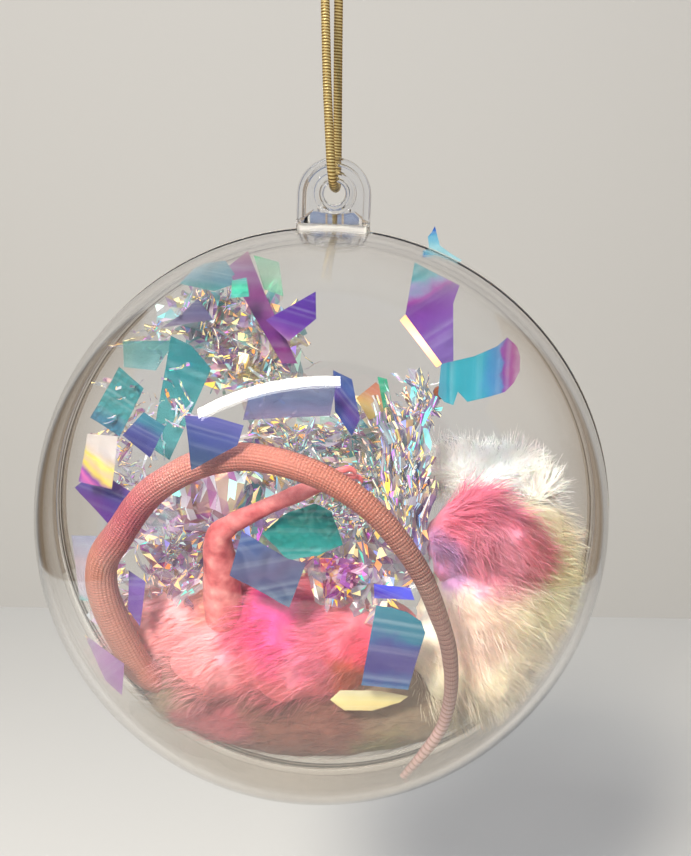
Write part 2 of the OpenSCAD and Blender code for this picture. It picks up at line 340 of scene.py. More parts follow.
def turned(name, profile, steps=192):
    """A body turned about the ball's front-to-back line, from (radius, depth) pairs in mm."""
    points, faces, rows = [], [], []
    for r, y in profile:
        if r < 1e-6:
            rows.append([len(points)] * steps)
            points.append((0, y, 0))
            continue
        rows.append([len(points) + k for k in range(steps)])
        for k in range(steps):
            a = 2 * math.pi * k / steps
            points.append((r * math.cos(a), y, r * math.sin(a)))
    for a, b in zip(rows, rows[1:]):
        for k in range(steps):
            j = (k + 1) % steps
            corner = [a[k], a[j], b[j], b[k]]
            faces.append([c for i, c in enumerate(corner) if c not in corner[:i]])
    mesh = mesh_of(name, [from_ball(*p) for p in points], faces)
    faces_outward(mesh)
    return mesh


def tab_edge(angle, inset):
    """How far the tab's outline is from the hole's centre that way, brought in by inset."""
    c, s = math.cos(angle), math.sin(angle)
    half = TAB_HALF_WIDTH - inset
    reach = -ARC_DOWN * s + math.sqrt(half * half - (ARC_DOWN * c) ** 2)
    if reach * s < -ARC_DOWN:
        reach = half / max(abs(c), 1e-6)
    return min(reach, 6.7 / -s) if s < 0 else reach


def half_tab(name, way):
    count = 132
    rows = [("edge", 0, 0.15), ("edge", 0, 1.6), ("edge", 0.08, 1.82), ("edge", 0.25, 1.95),
            ("edge", 0.95, 1.95), ("edge", 1.12, 1.82), ("edge", 1.2, 1.5), ("edge", 1.35, 1.35),
            ("round", 3.75, 1.35), ("round", 3.6, 1.5), ("round", 3.55, 2.05), ("round", 3.4, 2.22),
            ("round", 3.1, 2.25), ("round", 2.9, 2.1), ("round", 2.2, 1.3), ("round", 1.95, 1.1),
            ("round", 1.9, 0.9), ("round", 1.9, 0.15)]
    points, faces = [], []
    for kind, size, y in rows:
        for k in range(count):
            a = 2 * math.pi * (k + 0.5) / count
            r = tab_edge(a, size) if kind == "edge" else size
            points.append((r * math.cos(a), way * y, HOLE_UP + r * math.sin(a)))
    total = len(rows)
    for i in range(total):
        for k in range(count):
            j = (k + 1) % count
            n = (i + 1) % total
            faces.append((i * count + k, i * count + j, n * count + j, n * count + k))
    turn = Matrix.Rotation(LEAN, 3, "Y")
    mesh = mesh_of(name, [from_ball(*(turn @ Vector(p))) for p in points], faces)
    faces_outward(mesh)
    return mesh


def tab_foot(name, way):
    """A rounded block across the tab's foot."""
    block = bmesh.new()
    bmesh.ops.create_cube(block, size=1)
    for v in block.verts:
        v.co = Vector((v.co.x * 11.8, way * (1.65 + v.co.y * 3.0), 49.75 + v.co.z * 1.9))
    bmesh.ops.bevel(block, geom=block.edges[:], offset=0.5, segments=4, affect="EDGES", profile=0.5)
    turn = Matrix.Rotation(LEAN, 3, "Y")
    for v in block.verts:
        v.co = from_ball(*(turn @ v.co))
    mesh = bpy.data.meshes.new(name)
    bmesh.ops.recalc_face_normals(block, faces=block.faces)
    block.to_mesh(mesh)
    block.free()
    return mesh


def half_ball(name, node, way, body, plug):
    inside_from = 1.6 if plug else 0.15
    steps = 72
    inside = []
    last = math.acos(inside_from / INNER)
    for i in range(steps + 1):
        a = last * i / steps
        inside.append((INNER * math.sin(a), INNER * math.cos(a)))
    seam = [(48.45, 0.15), (50.3, 0.15), (50.3, 0.55), (50.12, 0.7), (50.3, 0.85), (50.3, 1.25),
            (50.12, 1.4), (50.3, 1.55), (50.3, 1.9), (50.1, 2.1), (50.1, 2.65)]
    if plug:
        seam = [(47.5, 1.6), (47.5, -1.25), (47.65, -1.4), (48.3, -1.4), (48.45, -1.25)] + seam
    else:
        seam = seam[1:]
    outside = []
    first = math.acos(2.8 / OUTER)
    for i in range(steps + 1):
        a = first * (1 - i / steps)
        outside.append((OUTER * math.sin(a), OUTER * math.cos(a)))
    profile = [(r, way * h) for r, h in inside + seam + outside]
    shell = new_object(name, turned(name, profile))
    shell.data.materials.append(clear_plastic)
    shell.data.materials.append(frosted_plastic)
    for part in (half_tab(name + "_tab", way), tab_foot(name + "_foot", way)):
        other = new_object(part.name, part)
        part.materials.append(clear_plastic)
        part.materials.append(frosted_plastic)
        if "foot" in part.name:
            part.polygons.foreach_set("material_index", [1] * len(part.polygons))
        join = shell.modifiers.new("join", "BOOLEAN")
        join.operation = "UNION"
        join.solver = "EXACT"
        join.object = other
        baked(shell)
        bpy.data.objects.remove(other)
    shell.data.materials.append(seam_plastic)
    for face in shell.data.polygons:
        spot = face.center - BALL
        reach = math.hypot(spot.x, spot.z)
        if BEAD_LOW * MM < reach < BEAD_HIGH * MM and abs(spot.y) < BEADS_HALF * MM:
            face.material_index = 2
    shell.data.polygons.foreach_set("use_smooth", [True] * len(shell.data.polygons))
    shell.data.set_sharp_from_angle(angle=math.radians(28))
    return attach(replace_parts(shell, node), body)


half_ball("front_half_shell", "front_shell", -1, "front_half", False)
half_ball("back_half_shell", "back_shell", 1, "back_half", True)

# ---- Tail ------------------------------------------------------------------------------------
# A long bare rat-like tail, cast in soft rubber: fine scale rings all along it, salmon pink where
# it loops round the front and greyish pink at the thin tip. It rises at the left, arches over the
# middle and comes down at the right.
tail_route = [(-24, -4, -31.5), (-28, -6, -30), (-32, -9, -26), (-36, -13, -14), (-36, -15.5, -6),
              (-32, -18, 0), (-27, -21.2, 6.6), (-21, -24, 11), (-15, -26.3, 13.6), (-9, -28, 14.5),
              (-2.6, -30, 13.7), (3.5, -31, 11.5), (9.4, -31.4, 7.6), (14, -31, 2.5), (17.6, -29.8, -3.4),
              (20, -28, -9.5), (21.9, -25.4, -16.2), (22.5, -22, -23), (22, -18.8, -29.4),
              (20.3, -16.8, -34.6), (15, -14.6, -43.2)]
tail_thickness = [2.5, 2.6, 2.7, 2.75, 2.7, 2.65, 2.5, 2.38, 2.28, 2.22, 2.12, 2.02, 1.9, 1.74, 1.58,
                  1.42, 1.26, 1.12, 1.0, 0.9, 0.7]


def tail_radius(length):
    rings = length / 0.92

    def radius(share, angle):
        place = share * (len(tail_thickness) - 1)
        i = min(int(place), len(tail_thickness) - 2)
        r = tail_thickness[i] + (tail_thickness[i + 1] - tail_thickness[i]) * (place - i)
        turn = share * rings
        wave = 0.06 * noise.noise(Vector((turn * 0.11, math.cos(angle), math.sin(angle))) * 1.4)
        ring = 0.5 - 0.5 * math.cos(2 * math.pi * (turn + 0.16 * noise.noise(Vector((turn * 0.7,
                                                                                     angle * 0.4, 3)))))
        return r * (1 + wave) + (0.004 + 0.07 * max(0, share - 0.55)) * (ring ** 0.6)
    return radius


scaly_skin, tree = new_finish("cast rubber with fine scale rings")
# warm flesh colours that change along the tail, with painted shade in the grooves between the rings and
# painted shade down one side
along = add(tree, "ShaderNodeUVMap", {"uv_map": "along"})
parts = add(tree, "ShaderNodeSeparateXYZ", n0=along)
place = add(tree, "ShaderNodeTexCoord").outputs["Object"]
patches = add(tree, "ShaderNodeTexNoise", Vector=place, Scale=260.0, Detail=4.0)
shift = add(tree, "ShaderNodeMath", {"operation": "MULTIPLY_ADD"}, n0=patches, n1=0.07, n2=parts)
flesh = ramp(tree, shift, [(0.03, "#a85a4c"), (0.14, "#b0705e"), (0.26, "#b4786a"), (0.34, "#a8545a"),
                           (0.42, "#b87a6e"), (0.52, "#b67262"), (0.62, "#aa6854"), (0.74, "#8e6a5e"),
                           (0.86, "#a07e74"), (0.97, "#c4a49c")])
# painted shade in the grooves between the rings: faint near the root, strong from a little past halfway
rows = add(tree, "ShaderNodeMath", {"operation": "MULTIPLY"}, n0=parts, n1=2 * math.pi * 150)
waves = add(tree, "ShaderNodeMath", {"operation": "SINE"}, n0=rows)
dark = add(tree, "ShaderNodeMapRange", n0=waves, n1=0.1, n2=1.0, n3=0.0, n4=1.0)
ring_shade_strength = add(tree, "ShaderNodeMapRange", n0=parts, n1=0.55, n2=0.72, n3=0.03, n4=0.6)
faint = add(tree, "ShaderNodeMath", {"operation": "MULTIPLY"}, n0=dark, n1=ring_shade_strength)
tinted = add(tree, "ShaderNodeMix", {"data_type": "RGBA"}, n0=faint, n6=flesh, n7=linear("#6d3a2e"))
rows_up = add(tree, "ShaderNodeMath", {"operation": "MULTIPLY_ADD"}, n0=parts.outputs[1],
              n1=2 * math.pi * 13, n2=rows)
rows_down = add(tree, "ShaderNodeMath", {"operation": "MULTIPLY_ADD"}, n0=parts.outputs[1],
                n1=-2 * math.pi * 13, n2=rows)
one_way = add(tree, "ShaderNodeMath", {"operation": "SINE"}, n0=rows_up)
other_way = add(tree, "ShaderNodeMath", {"operation": "SINE"}, n0=rows_down)
scales = add(tree, "ShaderNodeMath", {"operation": "MULTIPLY"}, n0=one_way, n1=other_way)
relief = add(tree, "ShaderNodeBump", Strength=0.8, Distance=0.00012, Height=scales)
# painted shade: one side of the tail made darker all along its length
turn = add(tree, "ShaderNodeMath", {"operation": "MULTIPLY_ADD"}, n0=parts.outputs[1], n1=2 * math.pi,
           n2=2.6)
under = add(tree, "ShaderNodeMath", {"operation": "COSINE"}, n0=turn)
shade = add(tree, "ShaderNodeMapRange", n0=under, n1=0.0, n2=1.0, n3=0.0, n4=0.65)
shaded = add(tree, "ShaderNodeMix", {"data_type": "RGBA"}, n0=shade, n6=tinted.outputs[2],
             n7=linear("#8c4a48"))
skin = add(tree, "ShaderNodeBsdfPrincipled", Base_Color=shaded.outputs[2], Roughness=0.5, Normal=relief,
           Subsurface_Weight=0.15, Subsurface_Scale=0.002)
add(tree, "ShaderNodeOutputMaterial", n0=skin)

path, tail_length = smooth_path([from_ball(*p) / MM for p in tail_route], 900)
tail = new_object("bare_tail", swept("bare_tail", path, tail_radius(tail_length), 22))
tail.data.materials.append(scaly_skin)
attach(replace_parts(tail, "tail"), "back_half")

# ---- Hind leg and foot -----------------------------------------------------------------------
# A thin bare leg in the same rubber that bends at the heel, with a narrow foot and curled toes.
leg_route = [(-16.5, -8, -18), (-16.6, -10, -12), (-16.4, -12, -7), (-16.6, -13.6, -3),
             (-16, -14.6, -0.6), (-14, -15, 1)]
leg_thickness = [3.4, 3.4, 3.3, 2.9, 2.4, 1.7]
foot_route = [(-16.4, -14.7, -0.8), (-14, -15.1, 1.1), (-10.6, -15.6, 2.9), (-6.6, -16.2, 4.9),
              (-2.8, -16.8, 6.6), (0.6, -17.2, 8.2)]
foot_thickness = [1.3, 1.75, 1.5, 1.35, 1.5, 1.25]
toe_routes = [[(-1, -17.4, 8.3), (2.4, -18.2, 9.9), (4.6, -18.6, 10.9), (6.2, -18.4, 11.1),
               (6.9, -18, 10.2)], [(-1, -17.1, 7.9), (2.8, -17.2, 8.8), (5.4, -16.9, 9.5),
                                   (7.2, -16.6, 9.5), (7.9, -16.4, 8.6)],
              [(-1, -16.7, 7.5), (2.4, -15.9, 7.5), (4.8, -15.2, 7.8), (6.3, -14.9, 7.6),
               (6.9, -14.8, 6.9)]]


def limb(name, route, thickness, around=18):
    def radius(share, angle):
        at = share * (len(thickness) - 1)
        i = min(int(at), len(thickness) - 2)
        r = thickness[i] + (thickness[i + 1] - thickness[i]) * (at - i)
        return r * (1 + 0.05 * noise.noise(Vector((share * 9, math.cos(angle), math.sin(angle)))))
    run, length = smooth_path([from_ball(*p) / MM for p in route], 60)
    return swept(name, run, radius, around)


def blended(thing, voxel):
    """Overlapping limbs made one smooth closed skin."""
    remesh = thing.modifiers.new("one skin", "REMESH")
    remesh.mode = "VOXEL"
    remesh.voxel_size = voxel * MM
    smooth = thing.modifiers.new("soften", "SMOOTH")
    smooth.iterations = 3
    baked(thing)
    thing.data.polygons.foreach_set("use_smooth", [True] * len(thing.data.polygons))
    return thing


def joined(name, meshes):
    work = bmesh.new()
    for mesh in meshes:
        work.from_mesh(mesh)
    one = bpy.data.meshes.new(name)
    work.to_mesh(one)
    work.free()
    return new_object(name, one)


red_skin, tree = new_finish("cast rubber pink-red skin")
# raw pink-red with paler worn spots and dark creases
place = add(tree, "ShaderNodeTexCoord").outputs["Object"]
patches = add(tree, "ShaderNodeTexNoise", Vector=place, Scale=420.0, Detail=5.0)
flesh = ramp(tree, patches, [(0.3, "#a84a4c"), (0.45, "#cc6a68"), (0.6, "#dc8480"), (0.75, "#e8a898")])
creases = add(tree, "ShaderNodeTexNoise", Vector=place, Scale=2600.0, Detail=3.0)
relief = add(tree, "ShaderNodeBump", Strength=0.4, Distance=0.0001, Height=creases)
skin = add(tree, "ShaderNodeBsdfPrincipled", Base_Color=flesh, Roughness=0.45, Normal=relief,
           Subsurface_Weight=0.15, Subsurface_Scale=0.002)
add(tree, "ShaderNodeOutputMaterial", n0=skin)

leg = blended(joined("hind_leg_skin", [limb("leg_run", leg_route, leg_thickness)]), 0.32)
foot = blended(joined("hind_foot_skin", [limb("foot_run", foot_route, foot_thickness)]
                      + [limb("toe_run", t, [0.75, 0.7, 0.72, 0.6, 0.35], 12) for t in toe_routes]), 0.22)
for limb_piece, node in ((leg, "hind_leg"), (foot, "hind_foot")):
    limb_piece.data.materials.append(red_skin)
    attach(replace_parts(limb_piece, node), "back_half")

# ---- Fur pieces ------------------------------------------------------------------------------
# Tufts of dyed fur fabric, packed in the lower half: a long pink one across the left and middle,
# a big cream one at the right with a rose patch and white wisps above it. Under the pink tuft its
# bare backing shows against the plastic, brown partly in its own colour and partly as painted shade
# at the bottom of the ball; the pink and cream tufts also carry painted shade at their lowest ends.


def fur_group():
    """Strands combed over a surface, one nodes setup for every tuft."""
    group = bpy.data.node_groups.new("combed fur", "GeometryNodeTree")
    face = group.interface
    face.new_socket("Base", in_out="INPUT", socket_type="NodeSocketGeometry")
    for label, kind in (("Density", "Float"), ("Length", "Float"), ("Width", "Float"), ("Comb", "Vector"),
                        ("Lift", "Float"), ("Spread", "Float"), ("Curl", "Float"), ("Seed", "Int"),
                        ("Finish", "Material")):
        face.new_socket(label, in_out="INPUT", socket_type="NodeSocket" + kind)
    face.new_socket("Fur", in_out="OUTPUT", socket_type="NodeSocketGeometry")
    given = add(group, "NodeGroupInput").outputs
    spots = add(group, "GeometryNodeDistributePointsOnFaces", Mesh=given["Base"],
                Density=given["Density"], Seed=given["Seed"])
    here = add(group, "GeometryNodeInputPosition")
    drift = add(group, "ShaderNodeTexNoise", Vector=here, Scale=130.0, Detail=2.0)
    centred = add(group, "ShaderNodeVectorMath", {"operation": "SUBTRACT"}, n0=drift.outputs["Color"],
                  n1=(0.5, 0.5, 0.5))
    spread = add(group, "ShaderNodeVectorMath", {"operation": "SCALE"}, n0=centred, Scale=given["Spread"])
    stray = add(group, "FunctionNodeRandomValue", {"data_type": "FLOAT_VECTOR"}, n0=(-0.35,) * 3,
                n1=(0.35,) * 3, Seed=given["Seed"])
    lifted = add(group, "ShaderNodeVectorMath", {"operation": "SCALE"}, n0=spots.outputs["Normal"],
                 Scale=given["Lift"])
    way = add(group, "ShaderNodeVectorMath", {"operation": "ADD"}, n0=given["Comb"], n1=spread)
    way = add(group, "ShaderNodeVectorMath", {"operation": "ADD"}, n0=way, n1=lifted)
    way = add(group, "ShaderNodeVectorMath", {"operation": "ADD"}, n0=way, n1=stray)
    turn = add(group, "FunctionNodeAlignRotationToVector", {"axis": "Y"}, Vector=way)
    blade = add(group, "GeometryNodeMeshGrid", n0=given["Width"], n1=given["Length"], n2=2, n3=4)
    spot = add(group, "ShaderNodeSeparateXYZ", n0=here)
    run = add(group, "ShaderNodeMath", {"operation": "DIVIDE"}, n0=spot.outputs[1], n1=given["Length"])
    share = add(group, "ShaderNodeMath", {"operation": "ADD"}, n0=run, n1=0.5)
    squared = add(group, "ShaderNodeMath", {"operation": "POWER"}, n0=share, n1=2.0)
    slim = add(group, "ShaderNodeMath", {"operation": "MULTIPLY_ADD"}, n0=squared, n1=-0.85, n2=1.0)
    thin = add(group, "ShaderNodeMath", {"operation": "MULTIPLY"}, n0=spot, n1=slim)
    out = add(group, "ShaderNodeMath", {"operation": "MULTIPLY"}, n0=share, n1=given["Length"])
    droop = add(group, "ShaderNodeMath", {"operation": "MULTIPLY"}, n0=squared, n1=given["Length"])
    droop = add(group, "ShaderNodeMath", {"operation": "MULTIPLY"}, n0=droop, n1=-0.3)
    placed = add(group, "ShaderNodeCombineXYZ", n0=thin, n1=out, n2=droop)
    kept = add(group, "GeometryNodeStoreNamedAttribute", {"data_type": "FLOAT", "domain": "POINT"},
               Geometry=blade, Name="share", Value=share)
    shaped = add(group, "GeometryNodeSetPosition", Geometry=kept, Position=placed)
    size = add(group, "FunctionNodeRandomValue", {"data_type": "FLOAT"}, n2=0.55, n3=1.25,
               Seed=given["Seed"])
    grown = add(group, "GeometryNodeInstanceOnPoints", Points=spots, Instance=shaped,
                Rotation=turn, Scale=size.outputs[1])
    real = add(group, "GeometryNodeRealizeInstances", Geometry=grown)
    wave = add(group, "ShaderNodeTexNoise", Vector=here, Scale=330.0, Detail=1.0)
    wave = add(group, "ShaderNodeVectorMath", {"operation": "SUBTRACT"}, n0=wave.outputs["Color"],
               n1=(0.5, 0.5, 0.5))
    far = add(group, "GeometryNodeInputNamedAttribute", {"data_type": "FLOAT"}, Name="share")
    bent = add(group, "ShaderNodeMath", {"operation": "MULTIPLY"}, n0=far, n1=given["Curl"])
    moved = add(group, "ShaderNodeVectorMath", {"operation": "SCALE"}, n0=wave, Scale=bent)
    curled = add(group, "GeometryNodeSetPosition", Geometry=real, Offset=moved)
    both = add(group, "GeometryNodeJoinGeometry")
    group.links.new(given["Base"], both.inputs[0])
    group.links.new(curled.outputs[0], both.inputs[0])
    smooth = add(group, "GeometryNodeSetShadeSmooth", Geometry=both)
    painted = add(group, "GeometryNodeSetMaterial", Geometry=smooth, Material=given["Finish"])
    add(group, "NodeGroupOutput", n0=painted)
    return group


fur_nodes = fur_group()


def use_group(thing, group, values):
    """Runs a nodes setup on a piece with the given named inputs, and keeps the plain mesh."""
    modifier = thing.modifiers.new("grown", "NODES")
    modifier.node_group = group
    for item in group.interface.items_tree:
        if item.item_type == "SOCKET" and item.in_out == "INPUT" and item.name in values:
            modifier[item.identifier] = values[item.name]
    return baked(thing)


def lump(name, balls, roughness_mm, detail=5):
    """One lumpy body from overlapping balls given as (x, y, z, radius) in mm from the ball's centre."""
    meshes = []
    for x, y, z, r in balls:
        round_one = bmesh.new()
        bmesh.ops.create_icosphere(round_one, subdivisions=detail, radius=r * MM)
        for v in round_one.verts:
            bump = noise.fractal(v.co * 140 + Vector((x, y, z)), 0.8, 2.2, 4)
            v.co = v.co * (1 + roughness_mm * bump / r) + from_ball(x, y, z)
        mesh = bpy.data.meshes.new(name)
        round_one.to_mesh(mesh)
        round_one.free()
        meshes.append(mesh)
    thing = joined(name, meshes)
    remesh = thing.modifiers.new("one skin", "REMESH")
    remesh.mode = "VOXEL"
    remesh.voxel_size = 0.75 * MM
    smooth = thing.modifiers.new("soften", "SMOOTH")
    smooth.iterations = 4
    baked(thing)
    return thing


FILL_R = 48.2


def kept_inside(thing):
    """Presses anything that would poke through the plastic back against its inside."""
    for v in thing.data.vertices:
        away = v.co - BALL
        if away.length > FILL_R * MM:
            v.co = BALL + away.normalized() * FILL_R * MM


def fur_finish(name, colour_build, sheen=0.3):
    """Soft matt fibres with a faint sheen and fine streaks, coloured in soft patches of dye and of painted
    shade.
    """
    finish, tree = new_finish(name)
    place = add(tree, "ShaderNodeTexCoord").outputs["Object"]
    colour = colour_build(tree, place)
    streak = add(tree, "ShaderNodeTexNoise", Vector=place, Scale=900.0, Detail=3.0)
    shade = add(tree, "ShaderNodeMapRange", n0=streak, n1=0.3, n2=0.7, n3=0.9, n4=1.1)
    lit = add(tree, "ShaderNodeHueSaturation", n2=shade, n4=colour)
    fibre = add(tree, "ShaderNodeBsdfPrincipled", Base_Color=lit, Roughness=0.85, Sheen_Weight=sheen,
                Subsurface_Weight=0.25, Subsurface_Scale=0.004)
    add(tree, "ShaderNodeOutputMaterial", n0=fibre)
    return finish


def patch(tree, place, centre, reach, soft, below, code):
    """Lays one soft-edged round patch of colour over what is below it. Sizes are in mm."""
    wobble = add(tree, "ShaderNodeTexNoise", Vector=place, Scale=190.0, Detail=3.0)
    off = add(tree, "ShaderNodeVectorMath", {"operation": "SUBTRACT"}, n0=wobble.outputs["Color"],
              n1=(0.5, 0.5, 0.5))
    off = add(tree, "ShaderNodeVectorMath", {"operation": "SCALE"}, n0=off, Scale=0.009)
    near = add(tree, "ShaderNodeVectorMath", {"operation": "ADD"}, n0=place, n1=off)
    gap = add(tree, "ShaderNodeVectorMath", {"operation": "DISTANCE"}, n0=near,
              n1=tuple(from_ball(*centre)))
    edge = add(tree, "ShaderNodeMapRange", {"interpolation_type": "SMOOTHSTEP"}, n0=gap.outputs["Value"],
               n1=reach * MM, n2=(reach + soft) * MM, n3=1.0, n4=0.0)
    return add(tree, "ShaderNodeMix", {"data_type": "RGBA"}, n0=edge, n6=below, n7=linear(code)).outputs[2]


def pink_colours(tree, place):
    colour = linear("#f08c94")
    colour = patch(tree, place, (-27, -8, -22), 9, 9, colour, "#fbb0b0")
    colour = patch(tree, place, (-20, -8, -13), 1, 5, colour, "#f8a884")
    colour = patch(tree, place, (-8, -12, -17), 4, 8, colour, "#f0448c")
    colour = patch(tree, place, (-1, -12, -22), 2, 6, colour, "#ee7f9c")
    colour = patch(tree, place, (8, -12, -21), 3, 6, colour, "#f04c68")
    colour = patch(tree, place, (6, -12, -28), 2, 4, colour, "#e06828")
    # painted shade: the lowest part of the pink tuft, at the bottom of the ball, darker rose
    return patch(tree, place, (-14, -6, -41), 7, 6, colour, "#c05c60")


def cream_colours(tree, place):
    colour = linear("#f6e8cc")
    colour = patch(tree, place, (30, -12, -4), 5, 7, colour, "#e898a8")
    colour = patch(tree, place, (22, -12, -6), 3, 6, colour, "#c088b0")
    colour = patch(tree, place, (26, -14, -18), 4, 7, colour, "#f8dcc8")
    colour = patch(tree, place, (41, -6, -12), 5, 8, colour, "#f0e6b8")
    # painted shade: the lowest part of the cream tuft, at the bottom of the ball, darker tan
    return patch(tree, place, (30, -2, -36), 8, 9, colour, "#b8a67c")


def rose_colours(tree, place):
    colour = linear("#e07488")
    colour = patch(tree, place, (31, -14, -3), 2, 5, colour, "#ee9cac")
    return patch(tree, place, (20, -14, -6), 3, 5, colour, "#c08ab4")


def white_colours(tree, place):
    return patch(tree, place, (30, 0, 9), 4, 6, linear("#faf4ec"), "#fffdf8")


# the backing's brown is partly its own colour and partly painted shade at the bottom of the ball, darkest in
# the middle and lowest down
def backing_and_shade_colours(tree, place):
    colour = patch(tree, place, (-4, -10, -40), 10, 8, linear("#84705a"), "#7c4e42")
    colour = patch(tree, place, (-20, -8, -38), 4, 6, colour, "#a8565c")
    return patch(tree, place, (12, -10, -44), 4, 5, colour, "#857850")


def tuft(name, node, slot_name, balls, finish, **grow):
    base = lump(name, balls, grow.pop("lumps"))
    area = sum(p.area for p in base.data.polygons)
    strands = grow.pop("Strands")
    grow["Density"] = strands / area
    use_group(base, fur_nodes, {**grow, "Finish": finish})
    kept_inside(base)
    base.data.materials.clear()
    base.data.materials.append(finish)
    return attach(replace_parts(base, node), "back_half")


tuft("pink_fur_tuft", "pink_fur", "pink_fur", [(-24, 2, -23, 9), (-13, 1, -23, 11.4), (1, 1, -23, 11.4),
                                               (9, 2, -24, 8.4), (-30, 0, -23, 6.5), (-10, -5, -19, 8),
                                               (4, -6, -21, 7.5), (-19, -6, -25, 7.6),
                                               (-6, -6, -25, 7.5)],
     fur_finish("dyed pink fur fabric", pink_colours), lumps=1.9, Strands=21000, Length=0.0052,
     Width=0.0001, Comb=(-1.1, -0.1, -0.1), Lift=0.2, Spread=1.3, Curl=0.0036, Seed=3)
tuft("cream_fur_tuft", "cream_fur", "cream_fur", [(30, 2, -18, 12), (33, 2, -6.5, 10), (25, 3, -29, 9.5),
                                                  (36, 0, -14, 8), (30, -6, -14, 9), (24, -4, -24, 8),
                                                  (30, -4, -26, 8)],
     fur_finish("undyed cream fur fabric", cream_colours), lumps=2.2, Strands=21000, Length=0.0055,
     Width=0.0001, Comb=(0.8, -0.1, -0.3), Lift=0.2, Spread=1.5, Curl=0.0038, Seed=5)
tuft("white_fur_wisp_tuft", "white_fur_wisp", "white_fur",
     [(21, 2, 6, 2.6), (25, 3, 7, 3.2), (30, 3, 6, 3.2), (34, 3, 7.5, 2.6), (38, 2, 4, 2.6)],
     fur_finish("undyed white fur", white_colours), lumps=1.0, Strands=5000, Length=0.0042, Width=0.00009,
     Comb=(0.2, -0.1, 0.5), Lift=0.5, Spread=2.6, Curl=0.006, Seed=8)
tuft("rose_fur_tuft", "rose_fur", "rose_fur",
     [(21.4, -9, -2.4, 3.8), (26, -9.2, 0, 5.4), (31.5, -9, -3.2, 5.6), (24, -8, -7, 4)],
     fur_finish("dyed rose fur fabric", rose_colours), lumps=1.4, Strands=9000, Length=0.0052, Width=0.0001,
     Comb=(0.6, -0.15, -0.2), Lift=0.25, Spread=2.0, Curl=0.0035, Seed=11)
tuft("bare_backing", "bare_skin", "brown_skin", [(x, 0.5 - 0.03 * (x + 4) ** 2 / 10,
                                                  -36.5 + 0.011 * (x + 2) ** 2, 9.2) for x in range(-24,
                                                                                                    20,
                                                                                                    4)],
     fur_finish("fur backing hide with painted shade", backing_and_shade_colours, 0.1), lumps=0.7, Strands=5000, Length=0.0042,
     Width=0.0001, Comb=(-0.9, -0.05, 0.1), Lift=0.04, Spread=0.7, Curl=0.0012, Seed=14)

# ---- Bead ------------------------------------------------------------------------------------
# One small brown glass-like bead among the film at the right.
brown_gloss, tree = new_finish("glossy brown glass bead")
# deep amber brown with a sharp glint
skin = add(tree, "ShaderNodeBsdfPrincipled", Base_Color=linear("#6e3a1c"), Roughness=0.12, Coat_Weight=0.6)
add(tree, "ShaderNodeOutputMaterial", n0=skin)
low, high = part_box("brown_bead")
centre = (low + high) / 2
round_one = bmesh.new()
bmesh.ops.create_uvsphere(round_one, u_segments=28, v_segments=18, radius=(high.x - low.x) / 2)
for v in round_one.verts:
    v.co = centre + Vector((v.co.x, v.co.y, v.co.z * (0.94 if v.co.z > 0 else 1)))
bead = new_object("glossy_bead", bpy.data.meshes.new("glossy_bead"))
round_one.to_mesh(bead.data)
round_one.free()
bead.data.polygons.foreach_set("use_smooth", [True] * len(bead.data.polygons))
bead.data.materials.append(brown_gloss)
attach(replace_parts(bead, "brown_bead"), "back_half")

# ---- Cut pieces of iridescent film -----------------------------------------------------------
# Loose squares, strips and chips of thin iridescent film. The film tints what is behind it and
# shines with a glossy coat; each piece has broad bands of colour, a bow and a few creases.


def film_finish(name, stops, turn=0.0, dense=0.55, crinkle=0.2, scale=420.0):
    """Thin see-through film with bands of colour up its height, turned by that share of its width."""
    finish, tree = new_finish(name)
    uv = add(tree, "ShaderNodeUVMap", {"uv_map": "cut"})
    parts = add(tree, "ShaderNodeSeparateXYZ", n0=uv)
    place = add(tree, "ShaderNodeTexCoord").outputs["Object"]
    wobble = add(tree, "ShaderNodeTexNoise", Vector=place, Scale=210.0, Detail=3.0)
    lean = add(tree, "ShaderNodeMath", {"operation": "MULTIPLY_ADD"}, n0=parts, n1=turn,
               n2=parts.outputs[1])
    off = add(tree, "ShaderNodeMath", {"operation": "MULTIPLY_ADD"}, n0=wobble, n1=0.44, n2=-0.22)
    at = add(tree, "ShaderNodeMath", {"operation": "ADD"}, n0=lean, n1=off)
    bands = ramp(tree, at, stops)
    # painted highlight: pale straight streaks laid over the bands, standing in for sheen on the film
    lines = add(tree, "ShaderNodeTexNoise", {"noise_dimensions": "1D"}, W=lean, Scale=9.0, Detail=1.0)
    pale = add(tree, "ShaderNodeMapRange", n0=lines, n1=0.48, n2=0.75, n3=0.0, n4=0.2)
    colour = add(tree, "ShaderNodeMix", {"data_type": "RGBA"}, n0=pale, n6=bands,
                 n7=linear("#e4f0f4")).outputs[2]
    folds = add(tree, "ShaderNodeTexVoronoi", {"feature": "F1"}, Vector=place, Scale=scale)
    relief = add(tree, "ShaderNodeBump", Strength=crinkle, Distance=0.0004, Height=folds)
    edge = add(tree, "ShaderNodeLayerWeight", Blend=0.3)
    body = add(tree, "ShaderNodeMapRange", n0=edge.outputs[1], n1=0.0, n2=1.0, n3=dense * 0.87,
               n4=min(1, dense + 0.2))
    film = add(tree, "ShaderNodeBsdfPrincipled", Base_Color=colour, Roughness=0.17, Metallic=0.25,
               Normal=relief, Coat_Weight=0.5, Coat_Roughness=0.06)
    tint = add(tree, "ShaderNodeBsdfTransparent", Color=colour)
    both = add(tree, "ShaderNodeMixShader", n0=body, n1=tint, n2=film)
    add(tree, "ShaderNodeOutputMaterial", n0=both)
    return finish


